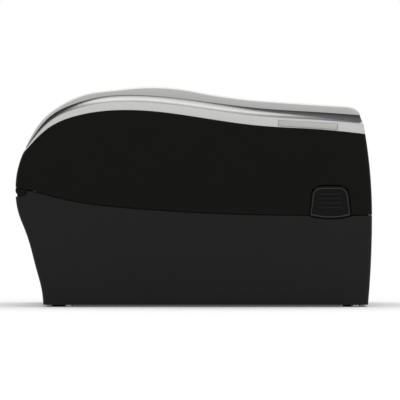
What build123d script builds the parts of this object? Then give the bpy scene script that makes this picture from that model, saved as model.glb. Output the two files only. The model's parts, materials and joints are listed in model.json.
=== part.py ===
"""Desktop label printer: a clamshell case, a roll bay, a platen drive and a thermal head.

Frame: +X towards the label exit, +Z up, Y across the printer. The origin is on the
surface that the printer stands on, under the middle of the case. "Left" is the -Y side,
as seen by a user who faces the label exit. All lengths are in millimetres.
"""

from build123d import *
from math import acos, asin, atan2, cos, degrees, hypot, pi, radians, sin, sqrt, tan
import os

os.makedirs("parts", exist_ok=True)

# Case
overall_depth = 252.0
overall_width = 184.0
overall_height = 155.0
foot_height = 1.5
wall = 2.5
seam_gap = 0.8
lip_rise = 2.5
lip_drop = 3.0
lip_sheet = 1.2
edge_round = 3.5
fit_gap = 0.3
beyond = 30.0

front_x = overall_depth / 2
rear_x = -overall_depth / 2
side_y = overall_width / 2
inner_y = side_y - wall

# Side profile of the base
rear_foot_inset = 19.6
rear_flank = (rear_x + 11.6, 38.5)
foot_lean = 0.04
front_foot_inset = 2.8

# Hinge line, and the seam between the lid and the base
hinge_x = rear_x + 4.1
hinge_z = 82.5
hinge_land = 1.5
barrel_radius = 4.1
pin_radius = 1.5
seam_front_z = 64.4
seam_points = [
    (rear_x - beyond, seam_front_z + 21.0),
    (rear_x + 7.5, seam_front_z + 18.5),
    (rear_x + 31.5, seam_front_z + 12.3),
    (rear_x + 82.4, seam_front_z + 5.3),
    (front_x - 93.4, seam_front_z + 1.0),
    (front_x + beyond, seam_front_z),
]

# Side profile of the lid
brow_radius = 350.0
nose_radius = 12.5
roof_front_drop = 12.8
roof_front_slope = 3.4

# Places along the roof: X, roof height, height of the silver crown's lower edge,
# and the share of the crown that lies above the foot of the dark gasket
crown_stations = [
    (rear_x + 8.6, overall_height - 38.7, overall_height - 43.0, 0.60),
    (rear_x + 20.2, overall_height - 21.3, overall_height - 31.2, 0.58),
    (rear_x + 38.6, overall_height - 8.4, overall_height - 21.5, 0.44),
    (rear_x + 59.8, overall_height - 1.7, overall_height - 17.1, 0.35),
    (rear_x + 81.0, overall_height, overall_height - 16.1, 0.34),
    (front_x - 121.6, overall_height - 3.8, overall_height - 21.4, 0.34),
    (front_x - 79.3, overall_height - 8.7, overall_height - 27.2, 0.41),
    (front_x - 36.9, overall_height - 11.6, overall_height - 29.8, 0.50),
    (front_x - 4.5, overall_height - 13.6, overall_height - 33.1, 0.57),
]

# The stations that the roof's arcs run through
roof_nodes = [crown_stations[index][0] for index in (0, 1, 2, 4, 6)]

# Crown: shares of its height, measured down from the roof
panel_top_share = 0.17
panel_edge_share = 0.32
flange_top_share = 0.63
flange_lean = 1.2
panel_half_width = side_y - 5.7
panel_round = 8.3
bezel_wall = 2.2
gasket_setback = 0.6
gasket_inset = 1.8
core_inset = 3.0
plate_front_x = front_x - 24.2
plate_length = 42.4
plate_depth = 1.9
plate_sheet = 0.9

# Latches
tile_x = front_x - 29.6
tile_width = 28.4
tile_taper = 3.2
tile_low_z = seam_front_z + 0.3
tile_high_z = seam_front_z + 20.0
tile_belly = 1.8
tile_corner = 6.5
tile_gap = 1.0
tile_depth = 3.8
tile_flange = 0.6
flange_sheet = 1.0
tile_rib = 0.4
latch_width = 16.0
latch_pin_y = side_y - 6.5
latch_pin_z = seam_front_z + 18.6
latch_pin_radius = 1.25
arm_sheet = 2.5
hook_top_z = 55.7
hook_depth = 3.2
hook_reach = 2.8
lug_width = 3.0

# Roll bay
roll_x = rear_x + 72.5
roll_z = 83.5
roll_radius = 63.5
roll_gap = 3.0
cradle_start = 14.0
deck_sheet = 2.0
deck_half_width = 68.0
path_z = 58.0
deck_front_x = front_x - 34.0
holder_rest = 51.0
holder_sheet = 4.0
holder_out = 8.0
holder_in = 36.0
holder_head_radius = 16.0
holder_foot_half = 22.0
hub_radius = 12.3
hub_width = 6.0
hub_boss_radius = 5.0
rack_module = 1.0
sync_teeth = 18
rack_low_z = 9.4
rack_high_z = 13.4
rack_back = 3.6
rack_overrun = 14.0
sync_boss_radius = 2.5

# Label sensor
sensor_x = 65.0
rail_z = 53.2
rail_radius = 1.5
sensor_travel = 38.0
sensor_half_width = 7.0
sensor_nose_half = 5.0

# Platen and its drive
platen_x = front_x - 22.0
platen_z = 56.5
roller_radius = 7.5
roller_core = 5.5
roller_half = 56.0
shaft_radius = 3.0
bushing_radius = 5.0
plate_thick = 2.0
pressure_angle = 25.0
backlash = 0.12
gear_module = 0.8
platen_teeth = 26
small_teeth = 16
big_teeth = 44
motor_teeth = 14
motor_x = 76.0
motor_z = 30.0
motor_size = 39.2
motor_length = 34.0
motor_shaft_radius = 2.5
gear_layer = 4.0
gear_start = 3.0

# Thermal head
head_pivot_x = 80.0
head_pivot_z = 80.0
head_gap = 0.3
head_half = 55.0
head_length = 21.0
head_sheet = 2.0
sink_height = 8.7
carrier_z = 92.0
carrier_sheet = 3.0
carrier_rear_x = 62.0
carrier_front_x = 116.0
cheek_y = 67.0
cheek_sheet = 3.0

# Label mouth and tear bar
mouth_half = 59.0
mouth_low_z = 61.0
mouth_high_z = 68.2
tear_sheet = 1.2
tear_low_z = 66.9
tear_height = 8.0
tear_teeth = 28

# Feed button and lamps, on the front of the roof
button_y = 52.0
button_radius = 7.0
button_travel = 1.2
lamp_radius = 1.5
lamp_gap = 0.1
board_depth = 12.0
switch_height = 2.6

# Underside and rear panel
plate_low_z = foot_height
plate_high_z = foot_height + 2.0
screw_radius = 1.35
screw_head_radius = 2.7
boss_radius = 4.0
screw_sides = 6
foot_radius = 6.0
board_z = 6.0
board_sheet = 1.6
io_half = 58.0
io_low_z = 7.0
io_high_z = 29.0
io_x = -103.5
io_sheet = 1.2


def show(part, name):
    """Writes one piece under its node's name."""
    part.label = name
    export_step(part, f"parts/{name}.step")


def side_plane(y):
    """The upright plane at Y = y, with X to the right and Z up."""
    return Plane.XZ.offset(-y)


def extend(start, end, length):
    """The point that lies this far past the end of a line."""
    run = hypot(end[0] - start[0], end[1] - start[1])
    return (end[0] + (end[0] - start[0]) * length / run, end[1] + (end[1] - start[1]) * length / run)


def around(centre, radius, angle):
    """The point on a circle at this angle, in radians, from level."""
    return (centre[0] + radius * cos(angle), centre[1] + radius * sin(angle))


def crown_line(share, lift=0.0):
    """Points along the crown, this share of its height below the roof."""
    points = [(x, top - share * (top - edge) + lift) for x, top, edge, _ in crown_stations]
    return [extend(points[1], points[0], beyond), *points, extend(points[-2], points[-1], beyond)]


def gasket_line(drop=0.0):
    """Points along the gasket's foot, or a share of the crown's height below it."""
    points = [(x, top - (foot + drop) * (top - edge)) for x, top, edge, foot in crown_stations]
    return [extend(points[1], points[0], beyond), *points, extend(points[-2], points[-1], beyond)]


def blend_line(upper, lower, amount):
    """Points between two lines that have their points at the same places."""
    return [(x, z + (low_z - z) * amount) for (x, z), (_, low_z) in zip(upper, lower)]


def under(points, y):
    """The side view's area under a smooth line of points, in the plane at Y = y."""
    with BuildSketch(side_plane(y), mode=Mode.PRIVATE) as area:
        with BuildLine():
            line = Spline(*points)
            Polyline(line @ 1, (points[-1][0], -beyond), (points[0][0], -beyond), line @ 0)
        make_face()
    return area.sketch


def block_under(points):
    """Everything under a line of points, right across the printer."""
    with BuildPart(mode=Mode.PRIVATE) as block:
        extrude(under(points, side_y + beyond), amount=overall_width + 2 * beyond)
    return block.part


def crown_body(levels):
    """A body whose top follows a line of points at each distance from the middle."""
    sections = [under(points, -y) for y, points in levels]
    sections += [under(points, y) for y, points in reversed(levels)]
    with BuildPart(mode=Mode.PRIVATE) as body:
        loft(sections=sections, ruled=True)
    return body.part


def heading(before, here, after):
    """The direction of the circle through three points, at the middle one."""
    near = (Vector(here) - Vector(before))
    far = (Vector(after) - Vector(here))
    return (near.normalized() * far.length + far.normalized() * near.length).normalized()


def arc_pair(start, start_way, end, end_way):
    """Draws two arcs that leave one point and reach another in these directions."""
    start, end = Vector(start), Vector(end)
    span, ways = end - start, start_way + end_way
    bend = 2 * (1 - start_way.dot(end_way))
    reach_out = span.dot(ways)
    if bend < 1e-9:
        length = span.dot(span) / (2 * reach_out)
    else:
        length = (sqrt(reach_out**2 + bend * span.dot(span)) - reach_out) / bend
    middle = (start + end + (start_way - end_way) * length) / 2
    first = TangentArc(start, middle, tangent=start_way)
    TangentArc(middle, end, tangent=first % 1)


def arc_run(points, start_way, end_way, inset):
    """Draws smooth arcs through points, moved to the right of the way by an inset."""
    ways = [heading(*three) for three in zip(points, points[1:], points[2:])]
    ways = [Vector(start_way).normalized(), *ways, Vector(end_way).normalized()]
    moved = [Vector(point) + Vector(way.Y, -way.X) * inset for point, way in zip(points, ways)]
    for here, way, there, next_way in zip(moved, ways, moved[1:], ways[1:]):
        arc_pair(here, way, there, next_way)
    return moved


def case_face(inset, y):
    """The side outline of the whole case in the plane at Y = y, drawn in by an inset."""
    roof_line = [(x, top) for x, top, _, _ in crown_stations if x in roof_nodes]
    roof_line = [(rear_x, hinge_z + hinge_land), *roof_line, nose_points[2]]
    flank_line = [(rear_x + rear_foot_inset, foot_height), rear_flank, (rear_x, hinge_z - hinge_land)]
    nose = [around(nose_centre, nose_radius - inset, angle) for angle in nose_angles]
    brow = [around(brow_centre, brow_radius - inset, angle) for angle in (brow_turn / 2, 0)]
    with BuildSketch(side_plane(y), mode=Mode.PRIVATE) as face:
        with BuildLine():
            flank = arc_run(flank_line, (-foot_lean, 1), (0, 1), inset)
            roof = arc_run(roof_line, (0, 1), (cos(slope), -sin(slope)), inset)
            Line(flank[-1], roof[0])
            ThreePointArc(nose[2], nose[1], nose[0])
            ThreePointArc(nose[0], *brow)
            chin_end = (front_x - front_foot_inset - inset, flank[0].Y)
            TangentArc(brow[1], chin_end, tangent=(0, -1))
            Line(chin_end, flank[0])
        make_face()
    return face.sketch


def inset_block(inset, half_width):
    """The case's side outline, drawn in by an inset and extruded across the printer."""
    with BuildPart(mode=Mode.PRIVATE) as block:
        extrude(case_face(inset, half_width), amount=2 * half_width)
    return block.part


def rod(x, z, radius, low_y, high_y, mode=Mode.ADD):
    """A round bar along Y, added to the piece in hand or cut from it."""
    with BuildSketch(side_plane(high_y)) as section:
        with Locations((x, z)):
            Circle(radius)
    extrude(section.sketch, amount=high_y - low_y, mode=mode)


def post(x, y, radius, low_z, high_z, mode=Mode.ADD):
    """A round bar along Z, added to the piece in hand or cut from it."""
    with BuildSketch(Plane.XY.offset(low_z)) as section:
        with Locations((x, y)):
            Circle(radius)
    extrude(section.sketch, amount=high_z - low_z, mode=mode)


def screw_head(x, y, radius, low_z, high_z):
    """A six-sided screw head, added to the piece in hand."""
    with BuildSketch(Plane.XY.offset(low_z)) as section:
        with Locations((x, y)):
            RegularPolygon(radius, screw_sides)
    extrude(section.sketch, amount=high_z - low_z)


def brick(low, high, mode=Mode.ADD):
    """A block between two corners, added to the piece in hand or cut from it."""
    with BuildSketch(Plane.XY.offset(low[2])) as section:
        with Locations(((low[0] + high[0]) / 2, (low[1] + high[1]) / 2)):
            Rectangle(high[0] - low[0], high[1] - low[1])
    extrude(section.sketch, amount=high[2] - low[2], mode=mode)


def side_slab(points, low_y, high_y, mode=Mode.ADD):
    """A plate with this outline in the side view, added to the piece in hand or cut from it."""
    with BuildSketch(side_plane(high_y)) as section:
        Polygon(*points, align=None)
    extrude(section.sketch, amount=high_y - low_y, mode=mode)


def reach(side, near, far):
    """The two ends, lowest first, of a stretch along Y on one side of the middle."""
    return sorted((side * near, side * far))


def gear_points(teeth, module, phase, x, z):
    """Outline of an involute gear about a point, with one tooth's middle at the phase angle."""
    pitch_radius = module * teeth / 2
    base_radius = pitch_radius * cos(radians(pressure_angle))
    tip_radius = pitch_radius + module
    root_radius = pitch_radius - 1.25 * module
    half_tooth = pi / (2 * teeth) - backlash / (2 * pitch_radius)
    pitch_roll = tan(radians(pressure_angle)) - radians(pressure_angle)

    def flank_angle(radius):
        """Half of the tooth's angle at this radius, on the involute of the base circle."""
        roll = acos(base_radius / radius)
        return half_tooth + pitch_roll - (tan(roll) - roll)

    start = max(base_radius, root_radius) + 0.01
    flank = [(radius, flank_angle(radius)) for radius in (start, pitch_radius, tip_radius)]
    flank = [(root_radius, flank[0][1]), *flank]
    points = []
    for tooth in range(teeth):
        middle = radians(phase) + 2 * pi * tooth / teeth
        sides = [(radius, middle - angle) for radius, angle in flank]
        sides += [(radius, middle + angle) for radius, angle in reversed(flank)]
        points += [(x + radius * cos(angle), z + radius * sin(angle)) for radius, angle in sides]
    return points


def meshing_phase(teeth, phase, mate_teeth, line_angle):
    """Phase of a mate whose centre lies at the line's angle, so that its gap meets this gear's tooth."""
    return line_angle + 180 - (phase - line_angle) * teeth / mate_teeth - 180 / mate_teeth


def tile_area(grow, y):
    """The latch tile's outline in the side view at Y = y, grown all round."""
    low_half, high_half = tile_width / 2, tile_width / 2 - tile_taper / 2
    with BuildSketch(side_plane(y)) as area:
        with BuildLine():
            ThreePointArc(
                (tile_x - low_half, tile_low_z),
                (tile_x, tile_low_z - tile_belly),
                (tile_x + low_half, tile_low_z),
            )
            Line((tile_x + low_half, tile_low_z), (tile_x + high_half, tile_high_z))
            ThreePointArc(
                (tile_x + high_half, tile_high_z),
                (tile_x, tile_high_z + tile_belly / 2),
                (tile_x - high_half, tile_high_z),
            )
            Line((tile_x - high_half, tile_high_z), (tile_x - low_half, tile_low_z))
        make_face()
        fillet(area.vertices().sort_by(Axis.Y)[-2:], radius=tile_corner)
        fillet(area.vertices().sort_by(Axis.Y)[:2], radius=1.0)
        if grow > 0:
            offset(amount=grow)
    return area.sketch


# Outline of the whole case, seen from the side
slope = radians(roof_front_slope)
nose_centre_z = overall_height - roof_front_drop - nose_radius * cos(slope)
brow_turn = asin((nose_centre_z - seam_front_z) / (brow_radius - nose_radius))
brow_centre = (front_x - brow_radius, seam_front_z)
nose_centre = around(brow_centre, brow_radius - nose_radius, brow_turn)
nose_angles = (brow_turn, (brow_turn + pi / 2 - slope) / 2, pi / 2 - slope)
nose_points = [around(nose_centre, nose_radius, angle) for angle in nose_angles]

with BuildPart() as case_block:
    add(inset_block(0, side_y))
    rims = case_block.faces().filter_by(Axis.Y).edges()
    fillet(rims.filter_by(lambda edge: edge.center().Z > foot_height + 1), radius=edge_round)

below_lid = block_under([(x, z + seam_gap / 2) for x, z in seam_points])
below_seam = block_under([(x, z - seam_gap / 2) for x, z in seam_points])
below_crown = block_under(crown_line(1.0))
below_gasket = block_under(gasket_line())
below_panel = block_under(crown_line(panel_edge_share))
cavity = inset_block(wall, inner_y)

# Base shell: the lower half of the case, open below, with the hinge knuckles and the hook ledges
knuckle = (34.4, 54.0)
barrel_clear = barrel_radius + 0.4
bore_radius = pin_radius + 0.06
boss_places = [(-88.0, side_y - 10.0), (front_x - 12.0, side_y - 9.0)]
boss_top_z = 24.0
ledge_low_z = hook_top_z + fit_gap
ledge_high_z = ledge_low_z + 2.0
ledge_y = inner_y - 2.5
ledge_half = latch_width / 2 + 1
rear_floor_x = rear_x + rear_foot_inset + wall
front_floor_x = front_x - front_foot_inset - wall
tunnel = 2.2

with BuildPart() as io_tunnel:
    add(case_block.part)
    with BuildSketch(Plane.YZ.offset(io_x)) as tunnel_end:
        with Locations((0, (io_low_z + io_high_z) / 2)):
            Rectangle(2 * (io_half + tunnel), io_high_z - io_low_z + 2 * tunnel)
    extrude(amount=-beyond, mode=Mode.INTERSECT)

lip_inset = wall + fit_gap
lip_top = block_under([(x, z + lip_rise) for x, z in seam_points])
lip_foot = block_under([(x, z - lip_drop) for x, z in seam_points])

with BuildPart() as lip_root:
    add(inset_block(wall - 0.2, inner_y + 0.2))
    add(below_seam, mode=Mode.INTERSECT)

with BuildPart() as seam_lip:
    add(inset_block(lip_inset, side_y - lip_inset))
    add(lip_top, mode=Mode.INTERSECT)
    add(lip_root.part)
    add(inset_block(lip_inset + lip_sheet, side_y - lip_inset - lip_sheet), mode=Mode.SUBTRACT)
    add(lip_foot, mode=Mode.SUBTRACT)
    brick((rear_x, -side_y, 0), (hinge_x + 10, side_y, overall_height), Mode.SUBTRACT)
    brick((tile_x - 17, -side_y, 0), (tile_x + 18, side_y, overall_height), Mode.SUBTRACT)
    brick((tile_x, -mouth_half, 0), (front_x, mouth_half, overall_height), Mode.SUBTRACT)

with BuildPart() as base_shell:
    add(case_block.part)
    add(below_seam, mode=Mode.INTERSECT)
    add(cavity, mode=Mode.SUBTRACT)
    add(seam_lip.part)
    brick((rear_floor_x, -inner_y, 0), (front_floor_x, inner_y, foot_height + 2 * wall), Mode.SUBTRACT)
    add(io_tunnel.part)
    brick((rear_x - 1, -io_half, io_low_z), (io_x + 1, io_half, io_high_z), Mode.SUBTRACT)
    rooms = ((-side_y - 1, -knuckle[1]), (-knuckle[0], knuckle[0]), (knuckle[1], side_y + 1))
    for low_y, high_y in rooms:
        rod(hinge_x, hinge_z, barrel_clear, low_y, high_y, Mode.SUBTRACT)
        room_low = (rear_x - 1, low_y, hinge_z - barrel_clear)
        brick(room_low, (hinge_x, high_y, hinge_z + 9), Mode.SUBTRACT)
    for side in (-1, 1):
        rod(hinge_x, hinge_z, barrel_radius, *reach(side, *knuckle))
        rod(hinge_x, hinge_z, bore_radius, *reach(side, knuckle[0] - 1, knuckle[1] + 1), Mode.SUBTRACT)
        low_y, high_y = reach(side, ledge_y, inner_y + 0.5)
        brick((tile_x - ledge_half, low_y, ledge_low_z), (tile_x + ledge_half, high_y, ledge_high_z))
        for x, y in boss_places:
            low_y, high_y = reach(side, y - boss_radius, inner_y + 0.5)
            boss_low = (x - boss_radius, low_y, plate_high_z)
            brick(boss_low, (x + boss_radius, high_y, boss_top_z))
            post(x, side * y, screw_radius + 0.05, plate_high_z, boss_top_z - 4, Mode.SUBTRACT)
        window = tile_area(tile_gap + 0.2, side * (side_y + 1))
        extrude(window, amount=side * (wall + 3), mode=Mode.SUBTRACT)
    mouth_low = (front_x - 10, -mouth_half, mouth_low_z)
    brick(mouth_low, (front_x + 1, mouth_half, seam_front_z + 5), Mode.SUBTRACT)

# Bottom plate, with screw holes, vents and the standoffs of the circuit board
standoffs = [(-92.0, 40.0), (-20.0, 52.0), (42.0, 52.0)]
with BuildPart() as bottom_plate:
    with BuildSketch(Plane.XY.offset(plate_low_z)):
        with Locations(((rear_floor_x + front_floor_x) / 2, 0)):
            RectangleRounded(front_floor_x - rear_floor_x - 2 * fit_gap, 2 * (inner_y - fit_gap), 2.0)
    extrude(amount=plate_high_z - plate_low_z)
    for side in (-1, 1):
        for x, y in boss_places:
            post(x, side * y, screw_radius + 0.25, plate_low_z - 1, plate_high_z + 1, Mode.SUBTRACT)
        for x, y in standoffs:
            post(x, side * y, 3.0, plate_high_z - 0.5, board_z)
    with BuildSketch(Plane.XY.offset(plate_low_z)):
        with Locations((motor_x, 0)):
            with GridLocations(7.0, 30.0, 5, 2):
                Rectangle(2.4, 22.0)
    extrude(amount=plate_high_z - plate_low_z, mode=Mode.SUBTRACT)

foot_places = [(rear_floor_x + 9.0, side_y - 22.0), (front_floor_x - 9.0, side_y - 22.0)]
with BuildPart() as rubber_feet:
    for side in (-1, 1):
        for x, y in foot_places:
            post(x, side * y, foot_radius, 0, plate_low_z)
    soles = rubber_feet.faces().group_by(Axis.Z)[0]
    chamfer(soles.edges(), length=0.4)

with BuildPart() as case_screws:
    for side in (-1, 1):
        for x, y in boss_places:
            screw_head(x, side * y, screw_head_radius, 0.3, plate_low_z)
            post(x, side * y, screw_radius, plate_low_z - 0.2, boss_top_z - 8)

# Media deck: a cradle for the roll that runs up to a flat label path
cradle_radius = roll_radius + roll_gap
front_rise = sqrt(cradle_radius**2 - (roll_z - path_z) ** 2)
outer_cradle = cradle_radius + deck_sheet
under_rise = sqrt(outer_cradle**2 - (roll_z - path_z + deck_sheet) ** 2)


def cradle_point(radius, angle):
    """A point on the cradle's circle, its angle measured down from level on the rear side."""
    return (roll_x - radius * cos(radians(angle)), roll_z - radius * sin(radians(angle)))


slot_near = rack_module * sync_teeth / 2 + 1.3
slot_far = slot_near + rack_back + fit_gap
slot_ends = (holder_rest - holder_in - 1.0, holder_rest + holder_sheet + holder_out + 1.0)
skirt_y = deck_half_width - deck_sheet
sensor_slot_half = sensor_travel + sensor_nose_half + 1.0

with BuildPart() as media_deck:
    with BuildSketch(side_plane(deck_half_width)):
        with BuildLine():
            ThreePointArc(
                cradle_point(cradle_radius, cradle_start),
                (roll_x, roll_z - cradle_radius),
                (roll_x + front_rise, path_z),
            )
            Polyline(
                (roll_x + front_rise, path_z),
                (deck_front_x, path_z),
                (deck_front_x, path_z - deck_sheet),
                (roll_x + under_rise, path_z - deck_sheet),
            )
            ThreePointArc(
                (roll_x + under_rise, path_z - deck_sheet),
                (roll_x, roll_z - outer_cradle),
                cradle_point(outer_cradle, cradle_start),
            )
            Line(cradle_point(outer_cradle, cradle_start), cradle_point(cradle_radius, cradle_start))
        make_face()
    extrude(amount=2 * deck_half_width)
    skirt_top = path_z + 4.5
    skirt = [
        (-100.0, plate_high_z),
        (50.0, plate_high_z),
        (50.0, motor_z + motor_size / 2 + 0.6),
        (deck_front_x, motor_z + motor_size / 2 + 0.6),
        (deck_front_x, skirt_top - 1),
        (deck_front_x - 6, skirt_top),
        (roll_x + 48.0, skirt_top + 4),
        cradle_point(cradle_radius, cradle_start - 1),
        cradle_point(outer_cradle, cradle_start),
    ]
    for side in (-1, 1):
        side_slab(skirt, *reach(side, skirt_y, deck_half_width))
        low_y, high_y = reach(side, *slot_ends)
        near_x, far_x = reach(side, slot_near, slot_far)
        slot_low = (roll_x + near_x, low_y, plate_high_z)
        brick(slot_low, (roll_x + far_x, high_y, roll_z - 45), Mode.SUBTRACT)
    rod(sensor_x, rail_z, rail_radius + 0.05, -deck_half_width - 1, deck_half_width + 1, Mode.SUBTRACT)
    brick(
        (sensor_x - 3.0, -sensor_slot_half, path_z - 5),
        (sensor_x + 3.0, sensor_slot_half, path_z + 1),
        Mode.SUBTRACT,
    )
    post(roll_x, 0, sync_boss_radius, rack_low_z - 0.4, roll_z - cradle_radius - 0.5)

# Roll holders: an arm with a freely turning hub, on a rack that a pinion keeps centred
rack_pitch = pi * rack_module
rack_line = rack_module * sync_teeth / 2
rack_root = rack_line + 1.25 * rack_module
rack_tip = rack_line - rack_module
half_root = rack_pitch / 4 - backlash / 2 + 1.25 * rack_module * tan(radians(pressure_angle))
half_tip = rack_pitch / 4 - backlash / 2 - rack_module * tan(radians(pressure_angle))
rack_end = holder_rest + holder_sheet
first_tooth = round((-rack_overrun + 1.0) / rack_pitch)
last_tooth = int((rack_end - 4.0) / rack_pitch)


def rack_outline(side):
    """Plan of a toothed bar on one side of the pinion, with a gap between teeth opposite its middle."""
    points = [(rack_root + rack_back, -rack_overrun), (rack_root, -rack_overrun)]
    for tooth in range(first_tooth, last_tooth):
        middle = (tooth + 0.5) * rack_pitch
        points += [
            (rack_root, middle - half_root),
            (rack_tip, middle - half_tip),
            (rack_tip, middle + half_tip),
            (rack_root, middle + half_root),
        ]
    points += [(rack_root, rack_end), (rack_root + rack_back, rack_end)]
    return [(roll_x + side * x, side * y) for x, y in points]


def roll_holder(side):
    """One roll holder, at rest."""
    near, far = holder_rest, holder_rest + holder_sheet
    with BuildPart() as holder:
        rod(roll_x, roll_z, holder_head_radius, *reach(side, near, far))
        arm = [
            (roll_x - holder_foot_half, roll_z - cradle_radius),
            (roll_x + holder_foot_half, roll_z - cradle_radius),
            (roll_x + holder_head_radius * 0.96, roll_z + 4),
            (roll_x - holder_head_radius * 0.96, roll_z + 4),
        ]
        side_slab(arm, *reach(side, near, far))
        rod(roll_x, roll_z, cradle_radius - fit_gap, *reach(side, near - 1, far + 1), Mode.INTERSECT)
        window = [(roll_x + x, roll_z + z) for x, z in ((-12, -56), (12, -56), (8.5, -22), (-8.5, -22))]
        side_slab(window, *reach(side, near - 1, far + 1), Mode.SUBTRACT)
        low_y, high_y = reach(side, near, far)
        near_x, far_x = reach(side, slot_near + fit_gap, slot_far - fit_gap)
        brick((roll_x + near_x, low_y, rack_low_z), (roll_x + far_x, high_y, roll_z - 64))
        with BuildSketch(Plane.XY.offset(rack_low_z)):
            Polygon(*rack_outline(side), align=None)
        extrude(amount=rack_high_z - rack_low_z)
        rod(roll_x, roll_z, hub_boss_radius, *reach(side, near - hub_width + 0.5, near))
    return holder.part


def roll_hub(side):
    """The hub that fills one end of the roll's core."""
    outer, inner = holder_rest - fit_gap, holder_rest - hub_width
    with BuildPart() as hub:
        rod(roll_x, roll_z, hub_radius, *reach(side, inner, outer))
        rod(roll_x, roll_z, hub_boss_radius + 0.08, *reach(side, inner - 1, outer + 1), Mode.SUBTRACT)
        rim = hub.faces().filter_by(Axis.Y).sort_by(Axis.Y)[0 if side > 0 else -1]
        chamfer(rim.edges().sort_by(SortBy.LENGTH)[-1], length=2.0)
        with BuildSketch(side_plane(max(reach(side, inner, outer)) + 1)):
            with Locations((roll_x, roll_z)):
                with PolarLocations((hub_boss_radius + hub_radius) / 2, 6):
                    Rectangle(3.6, 5.0)
        extrude(amount=hub_width + 2, mode=Mode.SUBTRACT)
    return hub.part


with BuildPart() as sync_pinion:
    with BuildSketch(Plane.XY.offset(rack_low_z)):
        Polygon(*gear_points(sync_teeth, rack_module, 0, roll_x, 0), align=None)
        with Locations((roll_x, 0)):
            Circle(sync_boss_radius + 0.06, mode=Mode.SUBTRACT)
    extrude(amount=rack_high_z - rack_low_z)

with BuildPart() as pinion_screw:
    post(roll_x, 0, sync_boss_radius + 1.5, rack_low_z - 1.3, rack_low_z - 0.4)

# Label sensor on its rail
with BuildPart() as sensor_rail:
    rod(sensor_x, rail_z, rail_radius, -deck_half_width, deck_half_width)

with BuildPart() as label_sensor:
    brick(
        (sensor_x - 4.5, -sensor_half_width, rail_z - rail_radius - 0.9),
        (sensor_x + 4.5, sensor_half_width, path_z - deck_sheet - fit_gap),
    )
    brick((sensor_x - 2.6, -sensor_nose_half, rail_z), (sensor_x + 2.6, sensor_nose_half, path_z + 0.3))
    rod(sensor_x, rail_z, rail_radius + 0.06, -beyond, beyond, Mode.SUBTRACT)
    post(sensor_x, 0, 1.2, path_z - 0.7, path_z + 1, Mode.SUBTRACT)

# Side plates that carry the platen, the idler and the motor
reach_x, reach_z = motor_x - platen_x, motor_z - platen_z
drive_span = hypot(reach_x, reach_z)
platen_idler = gear_module * (platen_teeth + small_teeth) / 2
idler_motor = gear_module * (big_teeth + motor_teeth) / 2
along = (platen_idler**2 - idler_motor**2 + drive_span**2) / (2 * drive_span)
aside = sqrt(platen_idler**2 - along**2)
idler_x = platen_x + (reach_x * along - reach_z * aside) / drive_span
idler_z = platen_z + (reach_z * along + reach_x * aside) / drive_span
post_radius = 2.5
side_plate = [
    (platen_x - 44, plate_high_z),
    (platen_x + 13, plate_high_z),
    (platen_x + 15, plate_high_z + 14),
    (platen_x + 15, platen_z - 6),
    (platen_x + 8, platen_z + 9),
    (platen_x - 8, platen_z + 9),
    (platen_x - 14, path_z + 2),
    (platen_x - 44, path_z + 2),
]
outer_y = deck_half_width + plate_thick

with BuildPart() as drive_plate:
    side_slab(side_plate, deck_half_width, outer_y)
    rod(platen_x, platen_z, bushing_radius, deck_half_width - 1, outer_y + 1, Mode.SUBTRACT)
    rod(motor_x, motor_z, motor_shaft_radius + 8.6, deck_half_width - 1, outer_y + 1, Mode.SUBTRACT)
    rod(sensor_x, rail_z, rail_radius + 0.05, deck_half_width - 1, outer_y + 1, Mode.SUBTRACT)

with BuildPart() as idle_plate:
    side_slab(side_plate, -outer_y, -deck_half_width)
    rod(platen_x, platen_z, bushing_radius, -outer_y - 1, -deck_half_width + 1, Mode.SUBTRACT)
    rod(motor_x, motor_z, motor_size / 2 - 4, -outer_y - 1, -deck_half_width + 1, Mode.SUBTRACT)
    rod(sensor_x, rail_z, rail_radius + 0.05, -outer_y - 1, -deck_half_width + 1, Mode.SUBTRACT)

with BuildPart() as platen_bearings:
    for side in (-1, 1):
        sleeve = reach(side, deck_half_width - 0.5, outer_y + 0.3)
        collar = reach(side, deck_half_width - 1.5, deck_half_width)
        bore = reach(side, skirt_y - 1, outer_y + 1)
        rod(platen_x, platen_z, bushing_radius, *sleeve)
        rod(platen_x, platen_z, bushing_radius + 1.2, *collar)
        rod(platen_x, platen_z, shaft_radius + 0.05, *bore, Mode.SUBTRACT)

with BuildPart() as idler_post:
    rod(idler_x, idler_z, post_radius, outer_y, outer_y + gear_start + 2 * gear_layer - 2.4)

with BuildPart() as stepper_motor:
    with BuildSketch(side_plane(deck_half_width)) as motor_face:
        with Locations((motor_x, motor_z)):
            Rectangle(motor_size, motor_size)
        chamfer(motor_face.vertices(), length=4.0)
    extrude(amount=motor_length)
    rod(motor_x, motor_z, motor_shaft_radius + 8.5, deck_half_width - 1, outer_y)
    rod(motor_x, motor_z, motor_shaft_radius + 0.08, deck_half_width - 4, outer_y + 1, Mode.SUBTRACT)

with BuildPart() as front_guide:
    guide = [
        (platen_x + 9.0, path_z - 6),
        (front_x - 6.0, path_z - 6),
        (front_x - 4.6, mouth_low_z - 0.4),
        (front_x - 7.0, mouth_low_z - 0.4),
        (platen_x + 10.0, path_z),
    ]
    side_slab(guide, -deck_half_width, deck_half_width)

# Gear train
inner_layer = (outer_y + gear_start - 2, outer_y + gear_start - 2 + gear_layer)
outer_layer = (inner_layer[1] + 0.4, inner_layer[1] + 0.4 + gear_layer - 0.5)
line_to_idler = degrees(atan2(idler_z - platen_z, idler_x - platen_x))
line_to_motor = degrees(atan2(motor_z - idler_z, motor_x - idler_x))
idler_phase = meshing_phase(platen_teeth, 0, small_teeth, line_to_idler)
motor_phase = meshing_phase(big_teeth, 0, motor_teeth, line_to_motor)

with BuildPart() as platen_shaft:
    rod(platen_x, platen_z, shaft_radius, -outer_y - 1.5, inner_layer[1])
    rod(platen_x, platen_z, roller_core, -roller_half - 1, roller_half + 1)

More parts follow.
